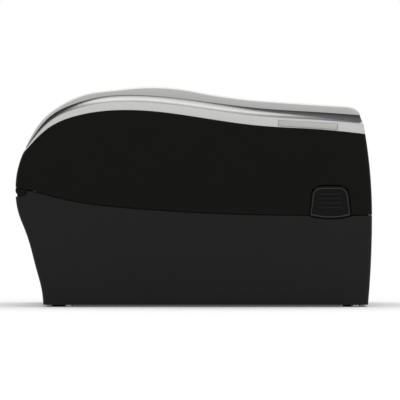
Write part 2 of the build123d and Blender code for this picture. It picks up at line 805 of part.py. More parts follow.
with BuildPart() as platen_rubber:
    rod(platen_x, platen_z, roller_radius, -roller_half, roller_half)
    rod(platen_x, platen_z, roller_core + 0.02, -roller_half - 1, roller_half + 1, Mode.SUBTRACT)

with BuildPart() as platen_gear:
    side_slab(gear_points(platen_teeth, gear_module, 0, platen_x, platen_z), *inner_layer)
    rod(platen_x, platen_z, shaft_radius + 0.02, outer_y, inner_layer[1] + 1, Mode.SUBTRACT)

with BuildPart() as idler_gear:
    side_slab(gear_points(small_teeth, gear_module, idler_phase, idler_x, idler_z), *inner_layer)
    rod(idler_x, idler_z, gear_module * small_teeth / 2 - 1, inner_layer[0], outer_layer[0] + 1)
    side_slab(gear_points(big_teeth, gear_module, 0, idler_x, idler_z), *outer_layer)
    with BuildSketch(side_plane(outer_layer[1] + 1)):
        with Locations((idler_x, idler_z)):
            with PolarLocations(gear_module * big_teeth / 2 - 6.5, 6):
                Rectangle(5.6, 7.0)
    extrude(amount=gear_layer, mode=Mode.SUBTRACT)
    rod(idler_x, idler_z, post_radius + 0.06, outer_y, outer_layer[1] + 1, Mode.SUBTRACT)

with BuildPart() as motor_shaft:
    rod(motor_x, motor_z, motor_shaft_radius, deck_half_width - 3.5, outer_layer[1] + 0.3)

with BuildPart() as motor_pinion:
    side_slab(gear_points(motor_teeth, gear_module, motor_phase, motor_x, motor_z), *outer_layer)
    rod(motor_x, motor_z, motor_shaft_radius + 0.02, outer_y, outer_layer[1] + 1, Mode.SUBTRACT)

# Circuit board, with the sockets that show at the rear
with BuildPart() as main_board:
    brick((io_x + io_sheet + 0.5, -io_half - 1, board_z), (50.0, io_half + 1, board_z + board_sheet))
    chamfer(main_board.edges().filter_by(Axis.Z), length=2.0)

chips = [(-20.0, -30.0, 14.0, 14.0, 1.6), (8.0, -22.0, 10.0, 18.0, 2.4), (30.0, 10.0, 18.0, 12.0, 9.0)]
with BuildPart() as board_parts:
    chip_z = board_z + board_sheet
    for x, y, length, width, height in chips:
        brick((x - length / 2, y - width / 2, chip_z), (x + length / 2, y + width / 2, chip_z + height))
    for x, y in ((-6.0, 30.0), (6.0, 30.0), (38.0, -30.0)):
        post(x, y, 4.0, chip_z, chip_z + 12.0)

dc_y, usb_y, serial_y, switch_y = 44.0, 22.0, -8.0, -42.0
socket_x = io_x - 2.0
socket_back = io_x + 11.0
with BuildPart() as dc_jack:
    brick((socket_x, dc_y - 4.5, chip_z), (socket_back, dc_y + 4.5, chip_z + 11))
    with BuildSketch(Plane.YZ.offset(socket_x)):
        with Locations((dc_y, chip_z + 6)):
            Circle(2.9)
            Circle(1.0, mode=Mode.SUBTRACT)
    extrude(amount=9.0, mode=Mode.SUBTRACT)

with BuildPart() as usb_port:
    brick((socket_x, usb_y - 6, chip_z), (socket_back, usb_y + 6, chip_z + 11))
    with BuildSketch(Plane.YZ.offset(socket_x)):
        with Locations((usb_y, chip_z + 5.5)):
            Rectangle(8.5, 8.0)
            Rectangle(5.4, 3.2, mode=Mode.SUBTRACT)
    extrude(amount=9.0, mode=Mode.SUBTRACT)

with BuildPart() as serial_port:
    brick((io_x + io_sheet, serial_y - 15.5, chip_z), (socket_back, serial_y + 15.5, chip_z + 12.5))
    with BuildSketch(Plane.YZ.offset(io_x + io_sheet)) as shell_outline:
        with Locations((serial_y, chip_z + 6.5)):
            Trapezoid(17.6, 8.6, 80)
            fillet(shell_outline.vertices(), radius=2.0)
    extrude(amount=-5.5)
    with BuildSketch(Plane.YZ.offset(io_x - 5)) as socket_outline:
        with Locations((serial_y, chip_z + 6.5)):
            Trapezoid(16.0, 7.0, 80)
            fillet(socket_outline.vertices(), radius=1.6)
            Rectangle(12.0, 2.6, mode=Mode.SUBTRACT)
    extrude(amount=5.0, mode=Mode.SUBTRACT)

switch_z = (io_low_z + io_high_z) / 2
switch_half_y, switch_half_z = 7.3, 9.6
rocker_x = io_x + 2.2
rocker_half_z = 7.0
rocker_tilt = 7.0


def switch_brick(half_y, half_z, low_x, high_x, mode=Mode.ADD):
    """A block centred on the power switch, between two places along X."""
    low = (low_x, switch_y - half_y, switch_z - half_z)
    brick(low, (high_x, switch_y + half_y, switch_z + half_z), mode)


with BuildPart() as power_switch_housing:
    switch_brick(switch_half_y, switch_half_z, io_x, io_x + 9.5)
    switch_brick(switch_half_y + 1, switch_half_z + 0.9, io_x - 1.2, io_x)
    switch_brick(5.8, 8.2, io_x - 3, io_x + 8, Mode.SUBTRACT)
    rod(rocker_x, switch_z, 1.06, switch_y - 7.1, switch_y + 7.1, Mode.SUBTRACT)

tilt = radians(rocker_tilt)
rocker_shape = [(-4.0, 0), (-4.0 - rocker_half_z * tan(tilt), rocker_half_z), (1.5, 5.0), (1.5, -5.0)]
rocker_shape.append((-4.0 - rocker_half_z * tan(tilt), -rocker_half_z))
rocker_points = [
    (rocker_x + x * cos(tilt) + z * sin(tilt), switch_z - x * sin(tilt) + z * cos(tilt))
    for x, z in rocker_shape
]
with BuildPart() as power_rocker:
    side_slab(rocker_points, switch_y - 5.5, switch_y + 5.5)
    rod(rocker_x, switch_z, 1.0, switch_y - 7.0, switch_y + 7.0)

with BuildPart() as io_bracket:
    brick((io_x, -io_half - 2, plate_high_z), (io_x + io_sheet, io_half + 2, io_high_z + 1.5))
    brick((io_x - 1, dc_y - 4.8, chip_z - 0.3), (io_x + 3, dc_y + 4.8, chip_z + 11.3), Mode.SUBTRACT)
    brick((io_x - 1, usb_y - 6.3, chip_z - 0.3), (io_x + 3, usb_y + 6.3, chip_z + 11.3), Mode.SUBTRACT)
    switch_brick(switch_half_y + 0.1, switch_half_z + 0.1, io_x - 1, io_x + 3, Mode.SUBTRACT)
    with BuildSketch(Plane.YZ.offset(io_x)):
        with Locations((serial_y, chip_z + 6.5)):
            Rectangle(18.4, 9.4)
    extrude(amount=io_sheet, mode=Mode.SUBTRACT)

# Hinge pins
with BuildPart() as hinge_pins:
    for side in (-1, 1):
        rod(hinge_x, hinge_z, pin_radius, *reach(side, knuckle[0] - 4.4, knuckle[1] + 6.0))

# Lid: a black shell, a silver bezel, a dark gasket and a brushed panel
flange_slope = (1 - flange_top_share) / flange_lean
flange_top = crown_line(flange_top_share)
gasket_foot = gasket_line()
gasket_y = panel_half_width - gasket_setback
core_y = panel_half_width - gasket_inset
flange_y = side_y - flange_lean
cove_width = flange_y - gasket_y

bezel_skirt = crown_body([
    (side_y + 1, crown_line(1 + flange_slope)),
    (flange_y, flange_top),
    (flange_y - cove_width * sin(pi / 6), blend_line(flange_top, gasket_foot, 1 - cos(pi / 6))),
    (flange_y - cove_width * sin(pi / 3), blend_line(flange_top, gasket_foot, 1 - cos(pi / 3))),
    (gasket_y, gasket_foot),
])
panel_dome = crown_body([
    (panel_half_width, crown_line(panel_top_share)),
    (panel_half_width - panel_round * 0.15, crown_line(panel_top_share * 0.4)),
    (panel_half_width - panel_round * 0.6, crown_line(panel_top_share * 0.05)),
    (panel_half_width - panel_round * 1.6, crown_line(-0.05)),
])
core_dome = crown_body([
    (core_y, crown_line(panel_top_share + 0.08)),
    (core_y - 2.0, crown_line(panel_top_share)),
    (panel_half_width - panel_round, crown_line(0.0, -0.5 * core_inset)),
])
skirt_room = block_under(crown_line(flange_top_share + 0.12))

with BuildPart() as lid_block:
    add(case_block.part)
    add(below_lid, mode=Mode.SUBTRACT)

with BuildPart() as crown_core:
    add(inset_block(core_inset, core_y))
    add(core_dome, mode=Mode.INTERSECT)
    add(below_crown, mode=Mode.SUBTRACT)

with BuildPart() as skirt_space:
    add(inset_block(wall, inner_y - 2.0))
    add(skirt_room, mode=Mode.INTERSECT)

dome_space = inset_block(core_inset + bezel_wall, core_y - 2 * bezel_wall)

# Front of the roof: a tilted plane for the button and the lamps
button_x, button_z = crown_stations[-2][:2]
before_x, before_z = crown_stations[-3][:2]
roof_run = (nose_points[2][0] - before_x, nose_points[2][1] - before_z)
button_plane = Plane(
    origin=(button_x, button_y, button_z),
    x_dir=(roof_run[0], 0, roof_run[1]),
    z_dir=(-roof_run[1], 0, roof_run[0]),
)
lamp_places = [(0, -18.0), (0, -26.0)]
post_places = [(-8.0, -14.0), (8.0, -14.0), (-8.0, 10.0), (8.0, 10.0)]


def button_bar(places, radius, low, high, mode=Mode.ADD):
    """Round bars square to the front of the roof, between two heights above its surface."""
    with BuildSketch(button_plane.offset(low)) as section:
        with Locations(*places):
            Circle(radius)
    extrude(section.sketch, amount=high - low, mode=mode)


# Bare name plate in a shallow recess of the flange, on the left side
rear_station, front_station = crown_stations[-3], crown_stations[-2]


def flange_height(x, share):
    """Height of a point on the flange, this share of the crown's height below the roof."""
    part_way = (x - rear_station[0]) / (front_station[0] - rear_station[0])
    top = rear_station[1] + (front_station[1] - rear_station[1]) * part_way
    edge = rear_station[2] + (front_station[2] - rear_station[2]) * part_way
    return top - share * (top - edge)


plate_rear_x = plate_front_x - plate_length
plate_corners = [
    (plate_rear_x, flange_height(plate_rear_x, 0.76)),
    (plate_front_x, flange_height(plate_front_x, 0.72)),
    (plate_front_x, flange_height(plate_front_x, 0.96)),
    (plate_rear_x + 1.0, flange_height(plate_rear_x, 0.97)),
]

with BuildPart() as top_bezel:
    add(lid_block.part)
    add(below_crown, mode=Mode.SUBTRACT)
    add(bezel_skirt, mode=Mode.INTERSECT)
    add(crown_core.part)
    add(skirt_space.part, mode=Mode.SUBTRACT)
    add(dome_space, mode=Mode.SUBTRACT)
    side_slab(plate_corners, -side_y - 1, -side_y + plate_depth, Mode.SUBTRACT)
    button_bar(post_places, 2.0, -board_depth, -core_inset - 1)
    button_bar([(0, 0)], button_radius + fit_gap, -8, 4, Mode.SUBTRACT)
    button_bar(lamp_places, lamp_radius + lamp_gap, -8, 4, Mode.SUBTRACT)

with BuildPart() as name_plate:
    side_slab(plate_corners, -side_y + plate_depth - plate_sheet, -side_y + plate_depth)
    chamfer(name_plate.edges().filter_by(Axis.Y), length=0.3)

with BuildPart() as top_panel:
    add(case_block.part)
    add(below_panel, mode=Mode.SUBTRACT)
    add(panel_dome, mode=Mode.INTERSECT)
    add(crown_core.part, mode=Mode.SUBTRACT)
    button_bar([(0, 0)], button_radius + fit_gap, -8, 4, Mode.SUBTRACT)
    button_bar(lamp_places, lamp_radius + lamp_gap, -8, 4, Mode.SUBTRACT)

with BuildPart() as panel_gasket:
    add(inset_block(gasket_inset, gasket_y))
    add(below_panel, mode=Mode.INTERSECT)
    add(below_gasket, mode=Mode.SUBTRACT)
    add(inset_block(core_inset, core_y), mode=Mode.SUBTRACT)

button_low = core_inset + bezel_wall + 0.6
with BuildPart() as feed_button:
    button_bar([(0, 0)], button_radius, -button_low - 1.2, -0.1)
    button_bar([(0, 0)], button_radius + 1.4, -button_low - 1.2, -button_low)
    button_bar([(0, 0)], 2.0, -board_depth + switch_height + button_travel + 0.1, -button_low)

with BuildPart() as light_pipes:
    button_bar(lamp_places, lamp_radius, -board_depth, -0.1)

with BuildPart() as button_board:
    with BuildSketch(button_plane.offset(-board_depth - board_sheet)):
        with Locations((0, -8.0)):
            Rectangle(22.0, 46.0)
    extrude(amount=board_sheet)
    with BuildSketch(button_plane.offset(-board_depth)):
        Rectangle(6.0, 6.0)
    extrude(amount=switch_height)

# Lid shell: the lower part of the lid, with its hinge barrels, mouth, latch windows and ledges
carrier_top_z = carrier_z + carrier_sheet
carrier_screw_xs = (carrier_rear_x + 8, carrier_front_x - 4)
carrier_screw_y = side_y - 5.3
with BuildPart() as lid_shell:
    add(lid_block.part)
    add(below_crown, mode=Mode.INTERSECT)
    add(cavity, mode=Mode.SUBTRACT)
    for side in (-1, 1):
        low_y, high_y = reach(side, knuckle[0] - 0.4, knuckle[1] + 0.4)
        room_high = (hinge_x + 5, high_y, hinge_z + barrel_clear + 0.4)
        brick((rear_x - 1, low_y, hinge_z - 9), room_high, Mode.SUBTRACT)
        low_y, high_y = reach(side, latch_pin_y - 2.5, inner_y + 0.5)
        ledge_low = (carrier_rear_x + 3, low_y, carrier_top_z)
        brick(ledge_low, (carrier_front_x, high_y, carrier_top_z + 4))
        window = tile_area(tile_gap, side * (side_y + 1))
        extrude(window, amount=side * (wall + 3), mode=Mode.SUBTRACT)
    rod(hinge_x, hinge_z, barrel_radius, -knuckle[0] + 0.4, knuckle[0] - 0.4)
    for side in (-1, 1):
        bore = reach(side, knuckle[0] - 4.8, knuckle[1] + 6.4)
        rod(hinge_x, hinge_z, barrel_radius, *reach(side, knuckle[1] + 0.4, side_y - edge_round / 2))
        rod(hinge_x, hinge_z, bore_radius, *bore, Mode.SUBTRACT)
        for x in carrier_screw_xs:
            hole = (screw_radius + 0.05, carrier_top_z - 1, carrier_top_z + 3)
            post(x, side * carrier_screw_y, *hole, Mode.SUBTRACT)
    mouth_low = (front_x - 10, -mouth_half, seam_front_z - 2)
    brick(mouth_low, (front_x + 1, mouth_half, mouth_high_z), Mode.SUBTRACT)

# Head carrier: the beam across the lid that holds the head and the latches
spring_places = [(platen_x - 2.0, -35.0), (platen_x - 2.0, 35.0)]
lug_xs = (tile_x - latch_width / 2 - fit_gap - lug_width, tile_x + latch_width / 2 + fit_gap)
with BuildPart() as head_carrier:
    beam_y = inner_y - fit_gap
    brick((carrier_rear_x, -beam_y, carrier_z), (carrier_front_x, beam_y, carrier_top_z))
    for y in (-44.0, 0.0, 44.0):
        window_low = (carrier_rear_x + 6, y - 15, carrier_z - 1)
        brick(window_low, (carrier_front_x - 34, y + 15, carrier_top_z + 1), Mode.SUBTRACT)
    brick((carrier_front_x - 2, -cheek_y, carrier_z - 8), (carrier_front_x, cheek_y, carrier_z))
    for side in (-1, 1):
        cheek = [
            (head_pivot_x - 8, carrier_z),
            (head_pivot_x - 5, head_pivot_z - 4),
            (head_pivot_x + 5, head_pivot_z - 4),
            (carrier_front_x - 2, carrier_z - 8),
            (carrier_front_x, carrier_z),
        ]
        side_slab(cheek, *reach(side, cheek_y - cheek_sheet, cheek_y))
        low_y, high_y = reach(side, latch_pin_y - 2.7, latch_pin_y + 2.2)
        for x in lug_xs:
            brick((x, low_y, latch_pin_z - 2.7), (x + lug_width, high_y, carrier_z))
        for x in carrier_screw_xs:
            hole = (screw_radius + 0.25, carrier_z - 1, carrier_top_z + 1)
            post(x, side * carrier_screw_y, *hole, Mode.SUBTRACT)
    rod(head_pivot_x, head_pivot_z, pin_radius + 0.05, -cheek_y - 1, cheek_y + 1, Mode.SUBTRACT)
    for side in (-1, 1):
        with BuildSketch(Plane.YZ.offset(lug_xs[0] - 1)):
            with Locations((side * latch_pin_y, latch_pin_z)):
                Circle(latch_pin_radius + 0.05)
        extrude(amount=lug_xs[1] + lug_width - lug_xs[0] + 2, mode=Mode.SUBTRACT)
    for x, y in spring_places:
        post(x, y, 2.4, carrier_z - 3, carrier_z)

with BuildPart() as carrier_screws:
    for side in (-1, 1):
        for x in carrier_screw_xs:
            screw_head(x, side * carrier_screw_y, screw_head_radius - 0.3, carrier_z - 1.5, carrier_z)
            post(x, side * carrier_screw_y, screw_radius, carrier_z - 0.2, carrier_top_z + 2.5)

with BuildPart() as latch_pins:
    for side in (-1, 1):
        with BuildSketch(Plane.YZ.offset(lug_xs[0])):
            with Locations((side * latch_pin_y, latch_pin_z)):
                Circle(latch_pin_radius)
        extrude(amount=lug_xs[1] + lug_width - lug_xs[0])

with BuildPart() as head_pivot_pin:
    rod(head_pivot_x, head_pivot_z, pin_radius, -cheek_y - 0.8, cheek_y + 0.8)


def latch(side):
    """One latch: an outer tile, a hub on its pin, and an arm that ends in a hook."""
    low_x, high_x = tile_x - latch_width / 2, tile_x + latch_width / 2
    arm_y = latch_pin_y - 2.0
    with BuildPart() as lever:
        flange_out = side_y - wall - fit_gap
        extrude(tile_area(tile_gap + tile_flange, side * flange_out), amount=side * flange_sheet)
        low_y, high_y = reach(side, flange_out - flange_sheet - 1, side_y)
        cut_low = (tile_x - tile_width, low_y, latch_pin_z - 1)
        brick(cut_low, (tile_x + tile_width, high_y, latch_pin_z + 9), Mode.SUBTRACT)
        extrude(tile_area(0, side * (side_y - tile_rib)), amount=side * (tile_depth - tile_rib))
        for step in range(4):
            rib_z = tile_low_z + 5.0 + 3.2 * step
            low_y, high_y = reach(side, side_y - tile_rib - 0.2, side_y)
            brick((tile_x - 8.5, low_y, rib_z), (tile_x + 8.5, high_y, rib_z + 1.1))
        with BuildSketch(Plane.YZ.offset(low_x)) as lever_side:
            arm = [
                (arm_y + arm_sheet, ledge_high_z),
                (arm_y + arm_sheet, hook_top_z),
                (arm_y + arm_sheet + hook_reach, hook_top_z),
                (arm_y + arm_sheet, hook_top_z - hook_depth),
                (arm_y, hook_top_z - hook_depth),
                (arm_y, latch_pin_z),
                (arm_y + 1, latch_pin_z + 2.2),
                (side_y - tile_depth + 0.2, latch_pin_z + 2.2),
                (side_y - tile_depth + 0.2, latch_pin_z - 5),
                (arm_y + arm_sheet, latch_pin_z - 8),
            ]
            Polygon(*[(side * y, z) for y, z in arm], align=None)
            with Locations((side * latch_pin_y, latch_pin_z)):
                Circle(latch_pin_radius + 1.6)
                Circle(latch_pin_radius + 0.06, mode=Mode.SUBTRACT)
        extrude(amount=latch_width)
    return lever.part


# Thermal head, its heat sink and the sprung bracket that carries them
head_low_z = platen_z + roller_radius + head_gap
sink_low_z = head_low_z + head_sheet
bracket_z = sink_low_z + sink_height
head_front_x = platen_x + 8.0
with BuildPart() as thermal_head:
    brick((head_front_x - head_length, -head_half, head_low_z), (head_front_x, head_half, sink_low_z))
    ridge = thermal_head.edges().filter_by(Axis.Y).group_by(Axis.Z)[0]
    chamfer(ridge, length=0.8)

with BuildPart() as heat_sink:
    sink_low = (head_front_x - head_length - 1, -head_half, sink_low_z)
    brick(sink_low, (head_front_x - 1, head_half, bracket_z))
    with BuildSketch(Plane.XY.offset(bracket_z - sink_height + 3.0)):
        with Locations((head_front_x - head_length / 2 - 1, 0)):
            with GridLocations(0, 6.5, 1, 16):
                Rectangle(head_length + 2, 3.0)
    extrude(amount=sink_height, mode=Mode.SUBTRACT)

with BuildPart() as head_bracket:
    brick((head_pivot_x, -head_half - 5, bracket_z), (head_front_x - 1, head_half + 5, bracket_z + 1.5))
    for side in (-1, 1):
        low_y, high_y = reach(side, head_half + 3.5, head_half + 5)
        eye_low = (head_pivot_x - 3.2, low_y, head_pivot_z - 3.5)
        brick(eye_low, (head_pivot_x + 6, high_y, head_pivot_z + 3.2))
    rod(head_pivot_x, head_pivot_z, pin_radius + 0.06, -cheek_y, cheek_y, Mode.SUBTRACT)

spring_low_z = bracket_z + 1.5
spring_wire = 0.5
spring_radius = 3.2
spring_turns = 5
coil_steps = 10
spring_rise = carrier_z - spring_low_z - 2 * spring_wire


def coil_point(x, y, step):
    """A corner of a spring's wire, this many steps above its foot."""
    angle = 2 * pi * step / coil_steps
    height = spring_low_z + spring_wire + spring_rise * step / (spring_turns * coil_steps)
    return (x + spring_radius * cos(angle), y + spring_radius * sin(angle), height)


with BuildPart() as head_springs:
    for x, y in spring_places:
        with BuildLine() as wire:
            Polyline(*[coil_point(x, y, step) for step in range(spring_turns * coil_steps + 1)])
        with BuildSketch(Plane(origin=wire.line @ 0, z_dir=wire.line % 0)):
            RegularPolygon(spring_wire, 6)
        sweep(path=wire.line, transition=Transition.RIGHT)

# Tear bar inside the lid's lip
tear_x = front_x - wall - tear_sheet - fit_gap
with BuildPart() as tear_bar:
    with BuildSketch(Plane.YZ.offset(tear_x)):
        tooth_pitch = 2 * (mouth_half - 2) / tear_teeth
        edge = [(-mouth_half + 2, tear_low_z + tear_height)]
        for tooth in range(tear_teeth):
            start = -mouth_half + 2 + tooth * tooth_pitch
            edge += [(start, tear_low_z + 0.9), (start + tooth_pitch / 2, tear_low_z)]
        edge += [(mouth_half - 2, tear_low_z + 0.9), (mouth_half - 2, tear_low_z + tear_height)]
        Polygon(*edge, align=None)
    extrude(amount=tear_sheet)

pieces = {
    "base_shell": base_shell.part,
    "bottom_plate": bottom_plate.part,
    "rubber_feet": rubber_feet.part,
    "case_screws": case_screws.part,
    "media_deck": media_deck.part,
    "roll_holder_left": roll_holder(-1),
    "roll_holder_right": roll_holder(1),
    "hub_left": roll_hub(-1),
    "hub_right": roll_hub(1),
    "sync_pinion": sync_pinion.part,
    "pinion_screw": pinion_screw.part,
    "sensor_rail": sensor_rail.part,
    "label_sensor": label_sensor.part,
    "drive_plate": drive_plate.part,
    "idle_plate": idle_plate.part,
    "platen_bearings": platen_bearings.part,
    "idler_post": idler_post.part,
    "stepper_motor": stepper_motor.part,
    "front_guide": front_guide.part,
    "platen_shaft": platen_shaft.part,
    "platen_rubber": platen_rubber.part,
    "platen_gear": platen_gear.part,
    "idler_gear": idler_gear.part,
    "motor_shaft": motor_shaft.part,
    "motor_pinion": motor_pinion.part,
    "main_board": main_board.part,
    "board_parts": board_parts.part,
    "dc_jack": dc_jack.part,
    "usb_port": usb_port.part,
    "serial_port": serial_port.part,
    "power_switch_housing": power_switch_housing.part,
    "power_rocker": power_rocker.part,
    "io_bracket": io_bracket.part,
    "hinge_pins": hinge_pins.part,
    "lid_shell": lid_shell.part,
    "top_bezel": top_bezel.part,
    "top_panel": top_panel.part,
    "panel_gasket": panel_gasket.part,
    "name_plate": name_plate.part,
    "feed_button": feed_button.part,
    "light_pipes": light_pipes.part,
    "button_board": button_board.part,
    "head_carrier": head_carrier.part,
    "carrier_screws": carrier_screws.part,
    "latch_pins": latch_pins.part,
    "latch_left": latch(-1),
    "latch_right": latch(1),
    "head_pivot_pin": head_pivot_pin.part,
    "head_bracket": head_bracket.part,
    "thermal_head": thermal_head.part,
    "heat_sink": heat_sink.part,
    "head_springs": head_springs.part,
    "tear_bar": tear_bar.part,
}
for name, part in pieces.items():
    show(part, name)
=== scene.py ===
"""Looks of a desktop label printer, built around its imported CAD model.

Everything is in metres in the frame of the model: +X towards the label exit, +Z up,
and the side that the photograph shows faces -Y.
"""

import json
import math

import bmesh
import bpy
import numpy as np
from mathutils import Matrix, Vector


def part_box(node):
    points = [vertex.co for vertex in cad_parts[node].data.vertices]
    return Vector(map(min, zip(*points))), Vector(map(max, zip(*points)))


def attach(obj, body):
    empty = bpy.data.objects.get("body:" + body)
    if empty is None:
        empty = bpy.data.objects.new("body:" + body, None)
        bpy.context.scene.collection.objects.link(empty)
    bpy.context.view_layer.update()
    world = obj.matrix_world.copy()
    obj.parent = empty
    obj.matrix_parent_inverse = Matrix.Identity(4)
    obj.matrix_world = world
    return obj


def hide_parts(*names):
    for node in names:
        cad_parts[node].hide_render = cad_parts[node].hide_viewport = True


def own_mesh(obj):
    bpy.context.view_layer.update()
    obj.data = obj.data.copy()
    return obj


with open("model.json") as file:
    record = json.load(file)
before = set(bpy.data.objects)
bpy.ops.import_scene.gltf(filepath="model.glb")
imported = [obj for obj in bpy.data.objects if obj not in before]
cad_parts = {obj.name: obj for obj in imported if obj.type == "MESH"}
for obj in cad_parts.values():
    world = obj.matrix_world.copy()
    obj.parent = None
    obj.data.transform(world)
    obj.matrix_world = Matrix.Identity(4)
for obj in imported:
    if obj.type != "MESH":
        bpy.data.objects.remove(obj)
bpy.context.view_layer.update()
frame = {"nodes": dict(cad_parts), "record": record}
nodes = frame["nodes"]

MM = 0.001
FINE_ANGLE = 35


def material(name, colour, roughness, metallic=0.0, specular=0.5):
    """A node material with a plain Principled shader, and the nodes it is built from."""
    made = bpy.data.materials.new(name)
    made.use_nodes = True
    tree = made.node_tree
    shader = tree.nodes["Principled BSDF"]
    shader.inputs["Base Color"].default_value = (*colour, 1)
    shader.inputs["Roughness"].default_value = roughness
    shader.inputs["Metallic"].default_value = metallic
    shader.inputs["Specular IOR Level"].default_value = specular
    return made, tree, shader


def link(tree, source, output, target, socket):
    """Joins two node sockets by name."""
    tree.links.new(source.outputs[output], target.inputs[socket])


def coordinates(tree, scale):
    """Object coordinates, stretched by a scale along each axis."""
    place = tree.nodes.new("ShaderNodeTexCoord")
    mapping = tree.nodes.new("ShaderNodeMapping")
    mapping.inputs["Scale"].default_value = scale
    link(tree, place, "Object", mapping, "Vector")
    return mapping


def noise(tree, scale, size, detail=2.0, roughness=0.5):
    """A noise texture whose grains are about this many metres across."""
    mapping = coordinates(tree, scale)
    texture = tree.nodes.new("ShaderNodeTexNoise")
    texture.inputs["Scale"].default_value = 1 / size
    texture.inputs["Detail"].default_value = detail
    texture.inputs["Roughness"].default_value = roughness
    link(tree, mapping, "Vector", texture, "Vector")
    return texture


def spread(tree, source, output, low, high):
    """Maps a value from 0 to 1 onto a range."""
    mapped = tree.nodes.new("ShaderNodeMapRange")
    mapped.inputs["To Min"].default_value = low
    mapped.inputs["To Max"].default_value = high
    link(tree, source, output, mapped, "Value")
    return mapped


def bump(tree, shader, texture, depth):
    """Bumps a surface by a texture."""
    relief = tree.nodes.new("ShaderNodeBump")
    relief.inputs["Strength"].default_value = 1.0
    relief.inputs["Distance"].default_value = depth
    link(tree, texture, "Fac", relief, "Height")
    link(tree, relief, "Normal", shader, "Normal")


def shade_variation(tree, shader, colour, amount, size):
    """Lets the colour drift a little over patches of this size."""
    patches = noise(tree, (1, 1, 1), size, 3.0)
    ramp = tree.nodes.new("ShaderNodeMix")
    ramp.data_type = "RGBA"
    ramp.inputs["A"].default_value = (*[c * (1 - amount) for c in colour], 1)
    ramp.inputs["B"].default_value = (*[min(1, c * (1 + amount)) for c in colour], 1)
    link(tree, patches, "Fac", ramp, "Factor")
    tree.links.new(ramp.outputs["Result"], shader.inputs["Base Color"])


def moulded(name, colour, roughness=0.5, specular=0.2, grain=0.35 * MM, depth=0.012 * MM):
    """Moulded plastic with a fine spark-eroded grain."""
    made, tree, shader = material(name, colour, roughness, specular=specular)
    texture = noise(tree, (1, 1, 1), grain, 3.0, 0.6)
    bump(tree, shader, texture, depth)
    level = spread(tree, texture, "Fac", roughness - 0.06, roughness + 0.08)
    link(tree, level, "Result", shader, "Roughness")
    shade_variation(tree, shader, colour, 0.08, 30 * MM)
    return made


def brushed(name, colour, roughness, direction=(1, 1, 1), line=0.08 * MM, depth=0.003 * MM):
    """Metal with fine lines along the axis that has the smallest stretch."""
    made, tree, shader = material(name, colour, roughness, metallic=1.0)
    texture = noise(tree, direction, line, 2.0, 0.6)
    bump(tree, shader, texture, depth)
    level = spread(tree, texture, "Fac", roughness - 0.07, roughness + 0.09)
    link(tree, level, "Result", shader, "Roughness")
    shade_variation(tree, shader, colour, 0.04, 40 * MM)
    return made


def satin_coat(name, colour, roughness, metallic):
    """Silver-coated plastic with a faint flake."""
    made, tree, shader = material(name, colour, roughness, metallic=metallic)
    flake = noise(tree, (1, 1, 1), 0.12 * MM, 1.0)
    bump(tree, shader, flake, 0.0015 * MM)
    level = spread(tree, flake, "Fac", roughness - 0.04, roughness + 0.05)
    link(tree, level, "Result", shader, "Roughness")
    shade_variation(tree, shader, colour, 0.03, 25 * MM)
    return made


def paint_rib_highlight(made, tone, face, depth):
    """Paints a highlight: mixes a paler tone into a finish where a piece reaches this distance from
    the middle.
    """
    tree = made.node_tree
    shader = tree.nodes["Principled BSDF"]
    before = shader.inputs["Base Color"].links[0].from_socket
    place = tree.nodes.new("ShaderNodeTexCoord")
    axes = tree.nodes.new("ShaderNodeSeparateXYZ")
    link(tree, place, "Object", axes, "Vector")
    width = tree.nodes.new("ShaderNodeMath")
    width.operation = "ABSOLUTE"
    link(tree, axes, "Y", width, 0)
    highlighted = tree.nodes.new("ShaderNodeMapRange")
    highlighted.inputs["From Min"].default_value = face - depth
    highlighted.inputs["From Max"].default_value = face
    link(tree, width, "Value", highlighted, "Value")
    mixed = tree.nodes.new("ShaderNodeMix")
    mixed.data_type = "RGBA"
    mixed.inputs["B"].default_value = (*tone, 1)
    link(tree, highlighted, "Result", mixed, "Factor")
    tree.links.new(before, mixed.inputs["A"])
    tree.links.new(mixed.outputs["Result"], shader.inputs["Base Color"])


def tone_by(made, attribute):
    """Multiplies a finish's colour by an attribute of the mesh."""
    tree = made.node_tree
    shader = tree.nodes["Principled BSDF"]
    before = shader.inputs["Base Color"].links[0].from_socket
    tone = tree.nodes.new("ShaderNodeAttribute")
    tone.attribute_name = attribute
    product = tree.nodes.new("ShaderNodeMix")
    product.data_type, product.blend_type = "RGBA", "MULTIPLY"
    product.inputs["Factor"].default_value = 1.0
    tree.links.new(before, product.inputs["A"])
    tree.links.new(tone.outputs["Color"], product.inputs["B"])
    tree.links.new(product.outputs["Result"], shader.inputs["Base Color"])


def dress(finish, *names):
    """Gives CAD nodes a finish on every material slot."""
    for name in names:
        for slot in nodes[name].material_slots:
            slot.material = finish


# Finishes, and how far from the middle the outermost face of a latch lies, whose rib tops get a
# painted highlight
TILE_FACE, HIGHLIGHT_DEPTH = 91.95 * MM, 0.2 * MM
lid_black = moulded("lid_black", (0.0042, 0.0044, 0.0037), 0.46, specular=0.075)
base_black = moulded("base_black", (0.0118, 0.0117, 0.0116), 0.5, specular=0.12)
latch_black = moulded("latch_black", (0.0034, 0.0036, 0.0031), 0.44, specular=0.09)
# A painted highlight on the rib tops of the latch tiles
paint_rib_highlight(latch_black, (0.011, 0.011, 0.0105), TILE_FACE, HIGHLIGHT_DEPTH)
rim_black = moulded("rim_black", (0.012, 0.012, 0.0115), 0.4, specular=0.45)
inner_black = moulded("inner_black", (0.022, 0.022, 0.023), 0.55, specular=0.3, grain=0.5 * MM)
socket_black = moulded("socket_black", (0.028, 0.028, 0.029), 0.42, specular=0.4)
holder_grey = moulded("holder_grey", (0.15, 0.16, 0.17), 0.5, specular=0.4)
hub_blue = moulded("hub_blue", (0.03, 0.11, 0.27), 0.42, specular=0.4)
acetal = moulded("acetal", (0.74, 0.72, 0.67), 0.38, specular=0.5, depth=0.004 * MM)
rubber = moulded("rubber", (0.02, 0.02, 0.021), 0.75, specular=0.25, grain=0.25 * MM)
